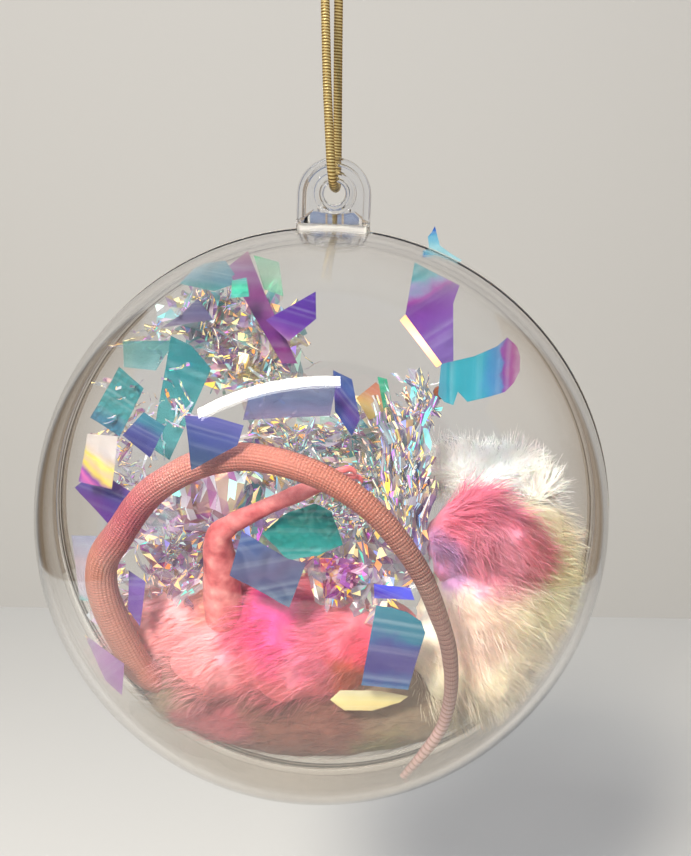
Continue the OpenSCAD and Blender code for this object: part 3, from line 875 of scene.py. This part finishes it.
def cut_film(name, node, finish, outline, bow=0.5, crease=0.2, seed=0, depth=None):
    """A piece cut to an outline of (across, up) points from the ball's centre, in its node's plane."""
    low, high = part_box(node)
    middle = (low + high) / 2 - BALL
    spots = np.array([v.co[:] for v in nodes[node].data.vertices])
    facing = Vector(np.linalg.svd(spots - spots.mean(0), full_matrices=False)[2][2])
    if depth is not None or abs(facing.y) < 0.5:
        facing = Vector((0, -1, 0))
    facing *= -1 if facing.y > 0 else 1
    step = 0.55
    ring = []
    for k, (x0, z0) in enumerate(outline):
        x1, z1 = outline[(k + 1) % len(outline)]
        count = max(1, round(math.hypot(x1 - x0, z1 - z0) / step))
        ring += [Vector((x0 + (x1 - x0) * i / count, z0 + (z1 - z0) * i / count)) for i in range(count)]
    xs, zs = [p.x for p in ring], [p.y for p in ring]
    wide, tall = max(xs) - min(xs), max(zs) - min(zs)
    spots = list(ring)
    for i in range(1, int(wide / step)):
        for j in range(1, int(tall / step)):
            q = Vector((min(xs) + i * step + 0.11 * (j % 2), min(zs) + j * step))
            inside = False
            for a, b in zip(ring, ring[1:] + ring[:1]):
                if (a.y > q.y) != (b.y > q.y) and q.x < (b.x - a.x) * (q.y - a.y) / (b.y - a.y) + a.x:
                    inside = not inside
            if inside and min((q - p).length for p in ring) > step * 0.45:
                spots.append(q)
    links = [(k, (k + 1) % len(ring)) for k in range(len(ring))]
    flat, _, cells, _, _, _ = geometry.delaunay_2d_cdt(spots, links, [], 1, 1e-4)
    cx, cz = sum(xs) / len(xs), sum(zs) / len(zs)
    points, cuts = [], []
    for level in (1, -1):
        for p in flat:
            x, z = p.x, p.y
            if depth is None:
                slope = (x - middle.x / MM) * facing.x + (z - middle.z / MM) * facing.z
                y = middle.y - slope / facing.y * MM
            else:
                y = depth * MM
            across = (x - cx) / max(wide, 1)
            up = (z - cz) / max(tall, 1)
            rise = bow * (2 * (across * 0.5 + up) ** 2 - 0.3)
            rise += crease * (1.6 * abs(noise.noise(Vector((x * 0.28, z * 0.28, seed * 7.3)))) - 0.3)
            points.append(BALL + Vector((x * MM, y, z * MM)) + facing * (rise * MM + level * 0.025 * MM))
            cuts.append(((x - min(xs)) / wide, (z - min(zs)) / tall))
    count = len(flat)
    faces = [tuple(c) for c in cells] + [tuple(i + count for i in reversed(c)) for c in cells]
    open_edges = {}
    for c in cells:
        for a, b in zip(c, list(c[1:]) + [c[0]]):
            key = (min(a, b), max(a, b))
            open_edges[key] = None if key in open_edges else (a, b)
    faces += [(e[1], e[0], e[0] + count, e[1] + count) for e in open_edges.values() if e]
    mesh = mesh_of(name, points, faces)
    layer = mesh.uv_layers.new(name="cut")
    for loop, cut in zip(mesh.loops, layer.data):
        cut.uv = cuts[loop.vertex_index]
    work = bmesh.new()
    work.from_mesh(mesh)
    bmesh.ops.recalc_face_normals(work, faces=work.faces)
    work.to_mesh(mesh)
    work.free()
    mesh.set_sharp_from_angle(angle=math.radians(35))
    made = new_object(name, mesh)
    made.data.materials.append(finish)
    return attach(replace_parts(made, node), "back_half")


# At the upper right: a tall strip with a painted glowing highlight along its edge, one curled strip and a
# shard in the seam.
cut_film("tall_film_strip", "film_tall_strip", film_finish("iridescent film teal over violet",
                                                           [(0.0, "#9a78c4"), (0.3, "#9a5cc0"),
                                                            (0.52, "#8a38a8"), (0.6, "#b45ab4"),
                                                            (0.68, "#a9a0cc"), (0.76, "#5fb4bc"),
                                                            (1.0, "#3faab0")], -0.32),
         [(14.4, 34.3), (20.7, 26.6), (22.8, 26.5), (22.6, 37.3), (23.6, 40.2), (16, 44)], seed=1)
painted_glint_edge, tree = new_finish("iridescent film edge with painted glowing highlight")
# a painted highlight that glows where the fold would catch the lamp: white hot in the middle, orange at its
# sides
uv = add(tree, "ShaderNodeUVMap", {"uv_map": "cut"})
glow = ramp(tree, add(tree, "ShaderNodeSeparateXYZ", n0=uv).outputs[1],
            [(0, "#ffa860"), (0.5, "#fff0e0"), (1, "#ff9a50")])
skin = add(tree, "ShaderNodeBsdfPrincipled", Base_Color=linear("#ffb070"), Roughness=0.2,
           Emission_Color=glow, Emission_Strength=1.1)
add(tree, "ShaderNodeOutputMaterial", n0=skin)
cut_film("painted_highlight_film_edge", "film_orange_edge", painted_glint_edge,
         [(13.7, 34.6), (19.8, 26.9), (20.7, 27.4), (14.6, 35.5)], bow=0.2, crease=0.1, seed=2)
cut_film("curled_strip", "film_curled_strip", film_finish("iridescent film teal with purple end",
                                                          [(0.0, "#3fa4bc"), (0.2, "#45b8c4"),
                                                           (0.5, "#48bccc"), (0.62, "#5aa8d4"),
                                                           (0.78, "#5f98cc"), (0.82, "#9a4ab4"),
                                                           (0.92, "#b45aa8"), (1.0, "#c8a0c0")], 0.0,
                                                          dense=0.6, crinkle=0.05),
         [(19.9, 23.4), (20.9, 22.3), (22.3, 21.8), (23, 23.9), (24.5, 22.3), (27.6, 23), (30.3, 23.8),
          (31.6, 25.2), (32.4, 27), (32.3, 29.2), (31.6, 31.1), (30.3, 32.3), (28.8, 30.9), (25.4, 29.4),
          (20.3, 28.2)], bow=1.0, crease=0.1, seed=3, depth=-20)
for cut in bpy.data.objects["curled_strip"].data.uv_layers["cut"].data:
    cut.uv = (cut.uv.y, cut.uv.x)

# Down the left side: teal, violet and purple squares, a streaked one, and pale ones at the wall.
cut_film("hammered_teal_square", "film_hammered_teal", film_finish("iridescent film hammered teal",
                                                                   [(0.0, "#4a86a4"), (0.4, "#4a8ca8"),
                                                                    (0.55, "#4aa4a8"), (1.0, "#3f9ca0")],
                                                                   0.5, dense=0.7, crinkle=0.8,
                                                                   scale=1100.0),
         [(-37.2, 18.7), (-32.4, 15.6), (-28.2, 23.6), (-32.1, 27.1)], seed=3)
cut_film("long_teal_strip", "film_long_teal", film_finish("iridescent film pale teal",
                                                          [(0.0, "#7cc8cc"), (0.4, "#8fd4d4"),
                                                           (0.75, "#5fbcc0"), (1.0, "#4fb0b4")], 0.2,
                                                          dense=0.4),
         [(-28.6, 13), (-25.4, 10.8), (-17.8, 26.5), (-21, 30.4), (-24.4, 32)], bow=0.9, seed=4)
cut_film("teal_corner", "film_teal_corner",
         film_finish("iridescent film teal corner", [(0.0, "#bcdcdc"), (1.0, "#94ccca")], dense=0.25),
         [(-34, 26.3), (-28.4, 25.7), (-25, 30.9), (-34.2, 30.8)], bow=0.3, seed=5)
cut_film("violet_square", "film_violet_square", film_finish("iridescent film violet to teal",
                                                            [(0.0, "#58508c"), (0.5, "#5a58a0"),
                                                             (0.8, "#6a70b0"), (1.0, "#58a0b4")], 0.5),
         [(-30.7, 16.5), (-26.3, 12.9), (-23.7, 18), (-27.1, 20.3)], seed=6)
# the yellow and pink bands on this piece are painted highlights, reflections on clear film between its
# violet bands
cut_film("streaked_film", "film_streaked", film_finish("iridescent film with painted yellow pink highlights",
                                                       [(0.0, "#8a50b0"), (0.12, "#e070c0"),
                                                        (0.2, "#8a4aac"), (0.32, "#f080c8"),
                                                        (0.42, "#a058b8"), (0.55, "#ffe860"),
                                                        (0.66, "#f4d8b0"), (0.78, "#fff07a"),
                                                        (0.9, "#e8d8c8"), (1.0, "#e4dcd8")], 0.55,
                                                       dense=0.75),
         [(-39, 8.3), (-33.6, 7), (-32.1, 16), (-37.1, 16.3)], seed=7)
cut_film("purple_square", "film_purple_square", film_finish("iridescent film purple",
                                                            [(0.0, "#9050b0"), (0.5, "#7c48a8"),
                                                             (0.8, "#6a5cb4"), (1.0, "#8a60b8")], 0.4),
         [(-41, 6.5), (-35.3, 0.3), (-31.4, 5.9), (-37, 9.6)], seed=8)
cut_film("pale_square", "film_pale_square", film_finish("iridescent film nearly clear",
                                                        [(0.0, "#9adcd8"), (0.12, "#e6e2ea"),
                                                         (0.6, "#e8dce4"), (1.0, "#c8d0e4")], dense=0.35,
                                                        crinkle=0.6),
         [(-43.1, -15.1), (-39.5, -15.8), (-38.1, -3.4), (-44.2, -3.5)], seed=9)
cut_film("lilac_piece", "film_lilac", film_finish("iridescent film lilac",
                                                  [(0.0, "#b070b8"), (0.5, "#c090c4"), (0.9, "#b8a0c0"),
                                                   (1.0, "#f4e4c0")], -0.5, dense=0.45),
         [(-39.4, -18.3), (-36.2, -26.5), (-33.3, -29), (-32.6, -23.3)], seed=10, depth=-16)
cut_film("blue_square", "film_blue_square", film_finish("iridescent film blue violet",
                                                        [(0.0, "#5c7498"), (0.4, "#5f74a4"),
                                                         (0.7, "#5a68b4"), (1.0, "#7c7cc8")], 0.3,
                                                        dense=0.5),
         [(-17.4, 13), (-10.3, 16.8), (-9.2, 20), (-13.4, 21.2), (-18, 21.4)], seed=11)
cut_film("violet_low_strip", "film_violet_low", film_finish("iridescent film deep violet",
                                                            [(0.0, "#8850b4"), (0.6, "#8a54c0"),
                                                             (1.0, "#7a60c0")], dense=0.6),
         [(-32.7, -15), (-30.7, -18), (-29.5, -10), (-32.4, -8)], seed=12)

# Along the top left: a purple strip crossed by a flag, a mint piece, chips and a triangle.
cut_film("purple_strip", "film_purple_strip", film_finish("iridescent film purple strip",
                                                          [(0.0, "#b04a98"), (0.25, "#8a3898"),
                                                           (0.5, "#a85a9c"), (0.8, "#a06aa4"),
                                                           (1.0, "#a45c8c")], dense=0.5),
         [(-6.4, 27.1), (-3.8, 27.1), (-9.4, 39.3), (-12, 46), (-15.7, 43.2), (-14.2, 40.5)], bow=0.7,
         seed=13)
cut_film("purple_flag", "film_purple_flag", film_finish("iridescent film bright purple",
                                                        [(0.0, "#d0a8c0"), (0.3, "#a060b8"),
                                                         (0.55, "#7a3cb4"), (1.0, "#6a34b0")], 0.3,
                                                        dense=0.55, crinkle=0.1),
         [(-8.6, 34.6), (-4.8, 31.1), (-0.2, 34.8), (-0.2, 39.3)], seed=14)
cut_film("mint_piece", "film_mint", film_finish("iridescent film mint",
                                                [(0.0, "#a8e4c8"), (0.5, "#cce0d0"), (0.9, "#b8dcc8"),
                                                 (1.0, "#7ae8b8")], dense=0.3),
         [(-9.7, 39.6), (-6.3, 38.4), (-7.1, 44.2), (-11.4, 45.4)], bow=0.3, crease=0.5, seed=15)
cut_film("teal_chip", "film_teal_chip", film_finish("iridescent film teal with gold",
                                                    [(0.0, "#a8d8cc"), (0.3, "#3f9ca0"), (0.6, "#5a94a8"),
                                                     (1.0, "#6a9cac")], 0.4, dense=0.6),
         [(-23.8, 40.6), (-17.9, 39.3), (-13.4, 40.8), (-15.8, 44.4), (-20.6, 44)], bow=0.3, crease=0.5,
         seed=16)
cut_film("green_chip", "film_green_chip", film_finish("iridescent film green",
                                                      [(0.0, "#58c8b8"), (0.5, "#48d8b0"),
                                                       (1.0, "#60c0c0")], dense=0.7, crinkle=0.8,
                                                      scale=900.0),
         [(-14, 38.2), (-11, 38.5), (-11.4, 41.5), (-13.8, 41)], bow=0.2, seed=17)
cut_film("violet_triangle", "film_violet_triangle", film_finish("iridescent film violet grey",
                                                                [(0.0, "#9a8aa0"), (0.5, "#7a74a0"),
                                                                 (1.0, "#6a6a98")], dense=0.6),
         [(-27.6, 33), (-18.6, 34.4), (-21, 38.1), (-24, 35.4)], seed=18)

# In the middle, round the tail: folded blue and clear sheets, green and yellow leaves.
cut_film("centre_fold", "film_centre_fold", film_finish("iridescent film royal blue",
                                                        [(0.0, "#5a4aa8"), (0.4, "#5068b0"),
                                                         (0.7, "#7a58a8"), (1.0, "#5870b0")], 0.5),
         [(3.2, 19.9), (6, 15.9), (7.3, 18.6), (6, 25.2), (2.9, 26.7)], bow=0.8, crease=0.5,
         seed=19)
cut_film("clear_sheet", "film_clear_sheet", film_finish("iridescent film clear blue",
                                                        [(0.0, "#c4b8d4"), (0.5, "#a8b4d4"),
                                                         (1.0, "#c8cce0")], dense=0.25),
         [(-11.4, 19), (2.7, 19.7), (4, 26), (-9.8, 24.7)], seed=20)
cut_film("green_strip", "film_green_strip", film_finish("iridescent film sea green",
                                                        [(0.0, "#2f9a7c"), (0.6, "#50b890"),
                                                         (1.0, "#58c8a0")], dense=0.6),
         [(11.8, 15.6), (13.3, 16.3), (11.6, 24.8), (10, 25.2)], seed=21)
cut_film("yellow_leaf", "film_yellow_leaf", film_finish("iridescent film yellow orange",
                                                        [(0.0, "#e0d080"), (0.5, "#e0c888"),
                                                         (1.0, "#e0a080")], 0.5, dense=0.55),
         [(8.4, 17.3), (11.7, 18), (11, 22.5), (9.6, 23.8), (6.2, 21)], bow=0.4, crease=0.4, seed=22)
cut_film("big_blue_piece", "film_big_blue", film_finish("iridescent film teal purple blue",
                                                        [(0.0, "#3c7ca0"), (0.14, "#385c94"),
                                                         (0.3, "#443884"), (0.52, "#3c3084"),
                                                         (0.62, "#2c4c90"), (0.7, "#107494"),
                                                         (1.0, "#0c8098")], 0.1, dense=0.78,
                                                        crinkle=0.05),
         [(7.9, -24.5), (15.6, -25.4), (18.3, -15.4), (17.6, -13.4), (15.4, -11.9), (12.8, -11.2),
          (10.3, -11)], bow=1.0, crease=0.1, seed=23)
cut_film("blue_band", "film_blue_band", film_finish("iridescent film violet blue band",
                                                    [(0.0, "#7a90ff"), (0.4, "#6a48c8"),
                                                     (1.0, "#5a5cf0")], 1.0, dense=0.7),
         [(9.9, -10.7), (16.5, -10.9), (15.8, -8.9), (9.8, -8.3)], bow=0.2, seed=24)
cut_film("cream_oval", "film_cream_oval", film_finish("iridescent film pale yellow",
                                                      [(0.0, "#e8d088"), (0.5, "#f0e4a0"),
                                                       (1.0, "#f0e8c0")], dense=0.75, crinkle=0.1),
         [(2.4, -29.2), (4.9, -31), (9.5, -31), (14.2, -29.5), (15.6, -28.2), (10.9, -27.3),
                       (4.1, -27.4)], bow=0.4, seed=25)
cut_film("grey_square", "film_grey_square", film_finish("iridescent film grey violet",
                                                        [(0.0, "#5e7290"), (0.35, "#6c6488"),
                                                         (0.6, "#646a90"), (0.8, "#5470a8"),
                                                         (1.0, "#7058b8")], -0.2, dense=0.75,
                                                        crinkle=0.15),
         [(-13.6, -6.3), (-3.9, -11.7), (-1.1, -4.1), (-4, -3.4), (-11.4, 1.1)], bow=0.6, crease=0.4,
         seed=26)
cut_film("crinkled_teal", "film_crinkled_teal", film_finish("iridescent film crinkled teal",
                                                            [(0.0, "#48b0a8"), (0.5, "#30a89c"),
                                                             (1.0, "#38b0a0")], dense=0.8, crinkle=0.9,
                                                            scale=700.0),
         [(-9.3, -1.2), (-4.6, -5.6), (0.2, -4.8), (4.4, -2.9), (2.6, 2.8), (-0.4, 4.3), (-5.4, 2.2)],
         bow=0.8, crease=1.0, seed=27)

cut_film("shard_in_seam", "film_shard_in_seam", film_finish("iridescent film pale teal shard",
                                                            [(0.0, "#c4e0e4"), (0.5, "#b0dce4"),
                                                             (0.8, "#80c4dc"), (0.92, "#3f80d0"),
                                                             (1.0, "#3a70c8")], dense=0.4, crinkle=0.5),
         [(18, 45.4), (22.8, 43.3), (24.2, 44.6), (22.5, 45.6), (20.4, 47.1), (19.5, 50.4),
                       (19, 49.4), (18.3, 48.6), (18.5, 47)], bow=0.0, crease=0.0, seed=28, depth=0)

# ---- Shredded and crumpled film --------------------------------------------------------------
# Narrow ribbons and crushed scraps of the same clear film, glowing faintly. Each facet throws its own
# colour: mostly clear, with pale tints, and now and then a painted bright gold, green or violet glint that
# glows.


def shred_group():
    group = bpy.data.node_groups.new("crushed ribbons", "GeometryNodeTree")
    face = group.interface
    face.new_socket("Base", in_out="INPUT", socket_type="NodeSocketGeometry")
    for label, kind in (("Count", "Int"), ("Reach", "Vector"), ("Centre", "Vector"), ("Length", "Float"),
                        ("Width", "Float"), ("Crush", "Float"), ("Upright", "Float"), ("Seed", "Int"),
                        ("Finish", "Material")):
        face.new_socket(label, in_out="INPUT", socket_type="NodeSocket" + kind)
    face.new_socket("Film", in_out="OUTPUT", socket_type="NodeSocketGeometry")
    given = add(group, "NodeGroupInput").outputs
    seat = add(group, "FunctionNodeRandomValue", {"data_type": "FLOAT_VECTOR"}, n0=(-1.0,) * 3,
               n1=(1.0,) * 3, Seed=given["Seed"])
    unit = add(group, "ShaderNodeVectorMath", {"operation": "NORMALIZE"}, n0=seat)
    depth = add(group, "FunctionNodeRandomValue", {"data_type": "FLOAT"}, n2=0.1, n3=1.0,
                Seed=given["Seed"])
    pulled = add(group, "ShaderNodeVectorMath", {"operation": "SCALE"}, n0=unit, Scale=depth.outputs[1])
    spread = add(group, "ShaderNodeVectorMath", {"operation": "MULTIPLY_ADD"}, n0=pulled,
                 n1=given["Reach"], n2=given["Centre"])
    spots = add(group, "GeometryNodePoints", n0=given["Count"], n1=spread)
    ribbon = add(group, "GeometryNodeMeshGrid", n0=given["Width"], n1=given["Length"], n2=4, n3=8)
    any_way = add(group, "FunctionNodeRandomValue", {"data_type": "FLOAT_VECTOR"}, n0=(-3.2,) * 3,
                  n1=(3.2,) * 3, Seed=given["Seed"])
    free = add(group, "FunctionNodeEulerToRotation", n0=any_way)
    leaning = add(group, "FunctionNodeRandomValue", {"data_type": "FLOAT_VECTOR"}, n0=(-0.5, -0.5, 1.0),
                  n1=(0.5, 0.5, 1.0), Seed=given["Seed"])
    up = add(group, "FunctionNodeAlignRotationToVector", {"axis": "Y"}, n0=free, n1=given["Upright"],
             n2=leaning)
    size = add(group, "FunctionNodeRandomValue", {"data_type": "FLOAT"}, n2=0.4, n3=1.3, Seed=given["Seed"])
    grown = add(group, "GeometryNodeInstanceOnPoints", Points=spots, Instance=ribbon, Rotation=up,
                Scale=size.outputs[1])
    chance = add(group, "FunctionNodeRandomValue", {"data_type": "FLOAT"}, n2=0.0, n3=1.0,
                 Seed=given["Seed"])
    tinted = add(group, "GeometryNodeStoreNamedAttribute", {"data_type": "FLOAT", "domain": "INSTANCE"},
                 Geometry=grown, Name="tint", Value=chance.outputs[1])
    real = add(group, "GeometryNodeRealizeInstances", Geometry=tinted)
    here = add(group, "GeometryNodeInputPosition")
    wave = add(group, "ShaderNodeTexNoise", Vector=here, Scale=180.0, Detail=2.5, Roughness=0.6)
    off = add(group, "ShaderNodeVectorMath", {"operation": "SUBTRACT"}, n0=wave.outputs["Color"],
              n1=(0.5, 0.5, 0.5))
    moved = add(group, "ShaderNodeVectorMath", {"operation": "SCALE"}, n0=off, Scale=given["Crush"])
    crushed = add(group, "GeometryNodeSetPosition", Geometry=real, Offset=moved)
    sharp = add(group, "GeometryNodeSetShadeSmooth", Geometry=crushed)
    next(s for s in sharp.inputs if s.name == "Shade Smooth").default_value = False
    painted = add(group, "GeometryNodeSetMaterial", Geometry=sharp, Material=given["Finish"])
    add(group, "NodeGroupOutput", n0=painted)
    return group


shred_nodes = shred_group()


def glitter_finish(name, stops, glints, dense=0.3, share_of_glints=0.1):
    """Clear film scraps that glow faintly: a tint for every one, changing from facet to facet, and a few
    painted bright glints that glow.
    """
    finish, tree = new_finish(name)
    tint = add(tree, "ShaderNodeAttribute", {"attribute_name": "tint"})
    edge = add(tree, "ShaderNodeLayerWeight", Blend=0.5)
    both = add(tree, "ShaderNodeMath", {"operation": "MULTIPLY_ADD"}, n0=edge.outputs[1], n1=1.1,
               n2=tint.outputs["Fac"])
    loop = add(tree, "ShaderNodeMath", {"operation": "FRACT"}, n0=both)
    colour = ramp(tree, loop, stops)
    cell = add(tree, "ShaderNodeMath", {"operation": "MULTIPLY_ADD"}, n0=edge.outputs[1], n1=9.0,
               n2=tint.outputs["Fac"])
    chance = add(tree, "ShaderNodeMath", {"operation": "FRACT"}, n0=cell)
    again = add(tree, "ShaderNodeMath", {"operation": "MULTIPLY_ADD"}, n0=tint.outputs["Fac"], n1=23.0,
                n2=edge.outputs[1])
    other = add(tree, "ShaderNodeMath", {"operation": "FRACT"}, n0=again)
    sheer = add(tree, "ShaderNodeMapRange", n0=other, n1=0.0, n2=1.0, n3=0.04, n4=dense * 1.8)
    body = add(tree, "ShaderNodeMath", {"operation": "MULTIPLY_ADD", "use_clamp": True},
               n0=edge.outputs[1], n1=0.45, n2=sheer)
    # a faint painted glow on every scrap, as if lit
    film = add(tree, "ShaderNodeBsdfPrincipled", Base_Color=colour, Roughness=0.13, Metallic=0.2,
               Emission_Color=colour, Emission_Strength=0.06)
    clear = add(tree, "ShaderNodeBsdfTransparent", Color=colour)
    scrap = add(tree, "ShaderNodeMixShader", n0=body, n1=clear, n2=film)
    # painted glints: a share of the facets glow in bright colours, as if they caught the lamp
    painted_glint_mask = add(tree, "ShaderNodeMath", {"operation": "GREATER_THAN"}, n0=chance, n1=1 - share_of_glints)
    hot = ramp(tree, other, glints)
    glint = add(tree, "ShaderNodeBsdfPrincipled", Base_Color=hot, Roughness=0.2, Metallic=0.3,
                Emission_Color=hot, Emission_Strength=0.75)
    mixed = add(tree, "ShaderNodeMixShader", n0=painted_glint_mask, n1=scrap, n2=glint)
    add(tree, "ShaderNodeOutputMaterial", n0=mixed)
    return finish


# the colours of the painted glints, which glow
painted_glint_colours = [(0.0, "#ffd030"), (0.25, "#fff4c0"), (0.4, "#ff9a40"), (0.52, "#ffffff"), (0.64, "#50e0c0"),
            (0.76, "#e070e0"), (0.88, "#60b8f0"), (1.0, "#f0f060")]
# mostly clear and pale, with teal, violet and gold among it
mixed_glints = glitter_finish("shredded iridescent film mixed",
                              [(0.0, "#dcd4d8"), (0.14, "#b8d0d4"), (0.24, "#70c0c4"), (0.34, "#e0d0d8"),
                               (0.46, "#a47cc4"), (0.54, "#e4dcd8"), (0.64, "#d8c890"), (0.72, "#e8e0dc"),
                               (0.8, "#dc98b8"), (0.88, "#a8c8b8"), (1.0, "#dcd4d8")], painted_glint_colours, 0.3,
                              0.13)
# the brightest lot: steely blues and whites with many painted hot glints that glow
bright_glints = glitter_finish("shredded iridescent film bright",
                               [(0.0, "#dcdcdc"), (0.2, "#7c98a8"), (0.34, "#ece4e0"), (0.5, "#7c84b0"),
                                (0.62, "#d8e0e0"), (0.76, "#d8bc90"), (0.88, "#9a78b8"),
                                (1.0, "#dcdcdc")], painted_glint_colours, 0.32, 0.22)
# nearly white, with lilac and cool blue
cool_glints = glitter_finish("shredded iridescent film pale",
                             [(0.0, "#e8e4ea"), (0.2, "#c8d4dc"), (0.34, "#f0ecf0"), (0.5, "#b898cc"),
                              (0.62, "#dcdce4"), (0.76, "#e0d0a8"), (0.88, "#c078b8"), (1.0, "#ece8ee")],
                             painted_glint_colours, 0.36, 0.13)
# magenta and violet with a little gold
warm_glints = glitter_finish("shredded iridescent film pink",
                             [(0.0, "#e8c8d8"), (0.25, "#d060b0"), (0.45, "#e8d8e0"), (0.6, "#e0b070"),
                              (0.8, "#a858b8"), (1.0, "#e8d8e4")], painted_glint_colours, 0.4, 0.06)


def ribbons(name, node, finish, lots):
    """One lot of crushed film from clouds of ribbons.

    A cloud is (centre, reach, count, length, width, crush, upright, seed).
    """
    clouds = []
    for centre, reach, count, length, width, crush, upright, seed in lots:
        cloud = new_object(name + "_cloud", bpy.data.meshes.new(name + "_cloud"))
        use_group(cloud, shred_nodes, {"Count": count, "Reach": tuple(r * MM for r in reach),
                                       "Centre": tuple(from_ball(*centre)), "Length": length * MM,
                                       "Width": width * MM, "Crush": crush * MM, "Upright": upright,
                                       "Seed": seed, "Finish": finish})
        clouds.append(cloud)
    made = joined(name, [cloud.data for cloud in clouds])
    for cloud in clouds:
        bpy.data.objects.remove(cloud)
    made.data.materials.clear()
    made.data.materials.append(finish)
    kept_inside(made)
    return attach(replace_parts(made, node), "back_half")


ribbons("shredded_mass", "shred_mass", mixed_glints,
        [((-2, 1, 12), (19, 8, 7), 130, 9, 1.1, 4.5, 0.0, 21),
         ((4, -6, 6), (13, 6, 9), 140, 7, 1.0, 4, 0.0, 24),
         ((-3, 4, 4), (18, 6, 11), 60, 11, 6.5, 7, 0.0, 25),
         ((-12, 0, 27), (13, 5, 9), 64, 9, 0.6, 3.5, 0.0, 22),
         ((-15, 2, 31), (12, 5, 9), 52, 9, 4.2, 5, 0.0, 26),
         ((-18, 1, 38), (9, 4, 5), 36, 7, 0.9, 3.5, 0.0, 23)])
ribbons("shredded_bundle", "shred_bundle", bright_glints,
        [((14.6, -14, 9), (4.4, 3, 13), 90, 10, 0.9, 4, 0.88, 31),
         ((15.4, -12, 10), (4.4, 3, 13), 40, 11, 2.2, 5, 0.85, 33),
         ((16.6, -12, 22), (3, 2, 4), 40, 5, 0.6, 4, 0.5, 32)])
ribbons("shredded_tuft_left", "shred_tuft_left", cool_glints,
        [((-26, -6, -6), (8, 4, 8), 46, 7, 0.8, 6, 0.0, 41),
         ((-25, -4, -7), (7, 4, 7), 20, 9, 4.5, 8, 0.0, 44),
         ((-34, -8, 12), (6, 5, 12), 40, 6, 0.8, 5, 0.0, 42),
         ((-36, -3, -14), (5, 4, 10), 16, 7, 2.8, 6, 0.0, 43),
         ((-30, -2, 32), (6, 4, 4), 12, 7, 0.6, 4, 0.0, 45),
         ((-22, 0, 1), (8, 4, 9), 18, 11, 7, 7, 0.0, 46),
         ((-17, 2, -8), (6, 3, 7), 12, 10, 7, 7, 0.0, 47),
         ((-27, -13, 20), (9, 3, 14), 34, 5, 0.5, 3, 0.0, 48)])
ribbons("clear_crumple", "film_clear_crumple", cool_glints,
        [((6, -10, -11), (6, 3, 5), 24, 6, 3.0, 6, 0.0, 51),
         ((2, -8, 0), (7, 3, 5), 60, 5, 0.6, 4, 0.0, 52), ((7, -4, -8), (9, 3, 8), 18, 11, 7, 7, 0.0,
                                                           53)])
ribbons("pink_crumple", "film_pink_crumple", warm_glints,
        [((3.7, -15.5, -6.8), (4, 2, 3), 16, 5, 2.4, 4, 0.0, 61)])

# ---- Table, wall and light -------------------------------------------------------------------
# A pale table under the ball and a pale wall behind it, a lamp strip up to the left and a soft
# window overhead. Dark cards stand out of view to each side.
pale_paint, tree = new_finish("matt pale grey paint")
# an even light grey
skin = add(tree, "ShaderNodeBsdfPrincipled", Base_Color=linear("#bdbdba"), Roughness=0.9)
add(tree, "ShaderNodeOutputMaterial", n0=skin)
wall_paint, tree = new_finish("matt grey wall paint")
# the wall is a little darker than the table
skin = add(tree, "ShaderNodeBsdfPrincipled", Base_Color=linear("#a3a29f"), Roughness=0.9)
add(tree, "ShaderNodeOutputMaterial", n0=skin)
dark_card, tree = new_finish("matt dark card")
# soft grey-brown, seen only in the plastic's edges
skin = add(tree, "ShaderNodeBsdfPrincipled", Base_Color=linear("#857766"), Roughness=0.9)
add(tree, "ShaderNodeOutputMaterial", n0=skin)


def panel(name, middle, x_axis, y_axis, finish):
    corners = [middle + a * x_axis + b * y_axis for a, b in ((-1, -1), (1, -1), (1, 1), (-1, 1))]
    made = new_object(name, mesh_of(name, corners, [(0, 1, 2, 3)], smooth=False))
    made.data.materials.append(finish)
    made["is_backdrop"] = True
    return made


TABLE_DOWN = 0.150
WALL_BACK = 0.440
panel("table_top", BALL + Vector((0, 0, -TABLE_DOWN)), Vector((1.6, 0, 0)), Vector((0, WALL_BACK, 0)),
      pale_paint)
panel("wall", BALL + Vector((0, WALL_BACK, 0.9 - TABLE_DOWN)), Vector((1.6, 0, 0)), Vector((0, 0, 0.9)),
      wall_paint)
left_card = panel("left_card", BALL + Vector((-0.42, 0.17, 0)), Vector((0.07, 0.22, 0)),
                  Vector((0, 0, 0.3)), dark_card)
right_card = panel("right_card", BALL + Vector((0.37, 0.17, 0)), Vector((-0.08, 0.22, 0)),
                   Vector((0, 0, 0.3)), dark_card)
for card in (left_card, right_card):
    card.visible_camera = False


def area_lamp(name, spot, width, height, power, colour, long_way=None, mirrored=False):
    lamp = bpy.data.lights.new(name, "AREA")
    lamp.shape = "RECTANGLE"
    lamp.size = width
    lamp.size_y = height
    lamp.energy = power
    lamp.color = linear(colour)[:3]
    thing = bpy.data.objects.new(name, lamp)
    bpy.context.scene.collection.objects.link(thing)
    back = (spot - BALL).normalized()
    side = long_way or Vector((0, 0, 1)).cross(back)
    side = (side - back * side.dot(back)).normalized()
    turn = Matrix((side, back.cross(side), back)).transposed()
    thing.matrix_world = Matrix.Translation(spot) @ turn.to_4x4()
    thing.visible_glossy = mirrored
    thing.visible_transmission = mirrored
    return thing


seen = camera.rotation_euler.to_matrix()
one_end = BALL + seen @ Vector((-0.53, 0.65, 0.545)) * 0.95
other_end = BALL + seen @ Vector((0.136, 0.785, 0.604)) * 0.55
area_lamp("strip_lamp", (one_end + other_end) / 2, (other_end - one_end).length, 0.05, 3.0, "#fffdf8",
          other_end - one_end, True)
area_lamp("key_lamp", BALL + Vector((-0.2, -0.75, 0.5)), 0.16, 0.16, 18.5, "#fff8ec")
area_lamp("overhead", BALL + Vector((-0.4, 0.1, 1.1)), 0.9, 0.9, 2.3, "#eef2ff")

world = bpy.data.worlds.new("room")
bpy.context.scene.world = world
world.use_nodes = True
world.node_tree.nodes["Background"].inputs[0].default_value = linear("#bccbec")
world.node_tree.nodes["Background"].inputs[1].default_value = 0.5

low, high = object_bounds()
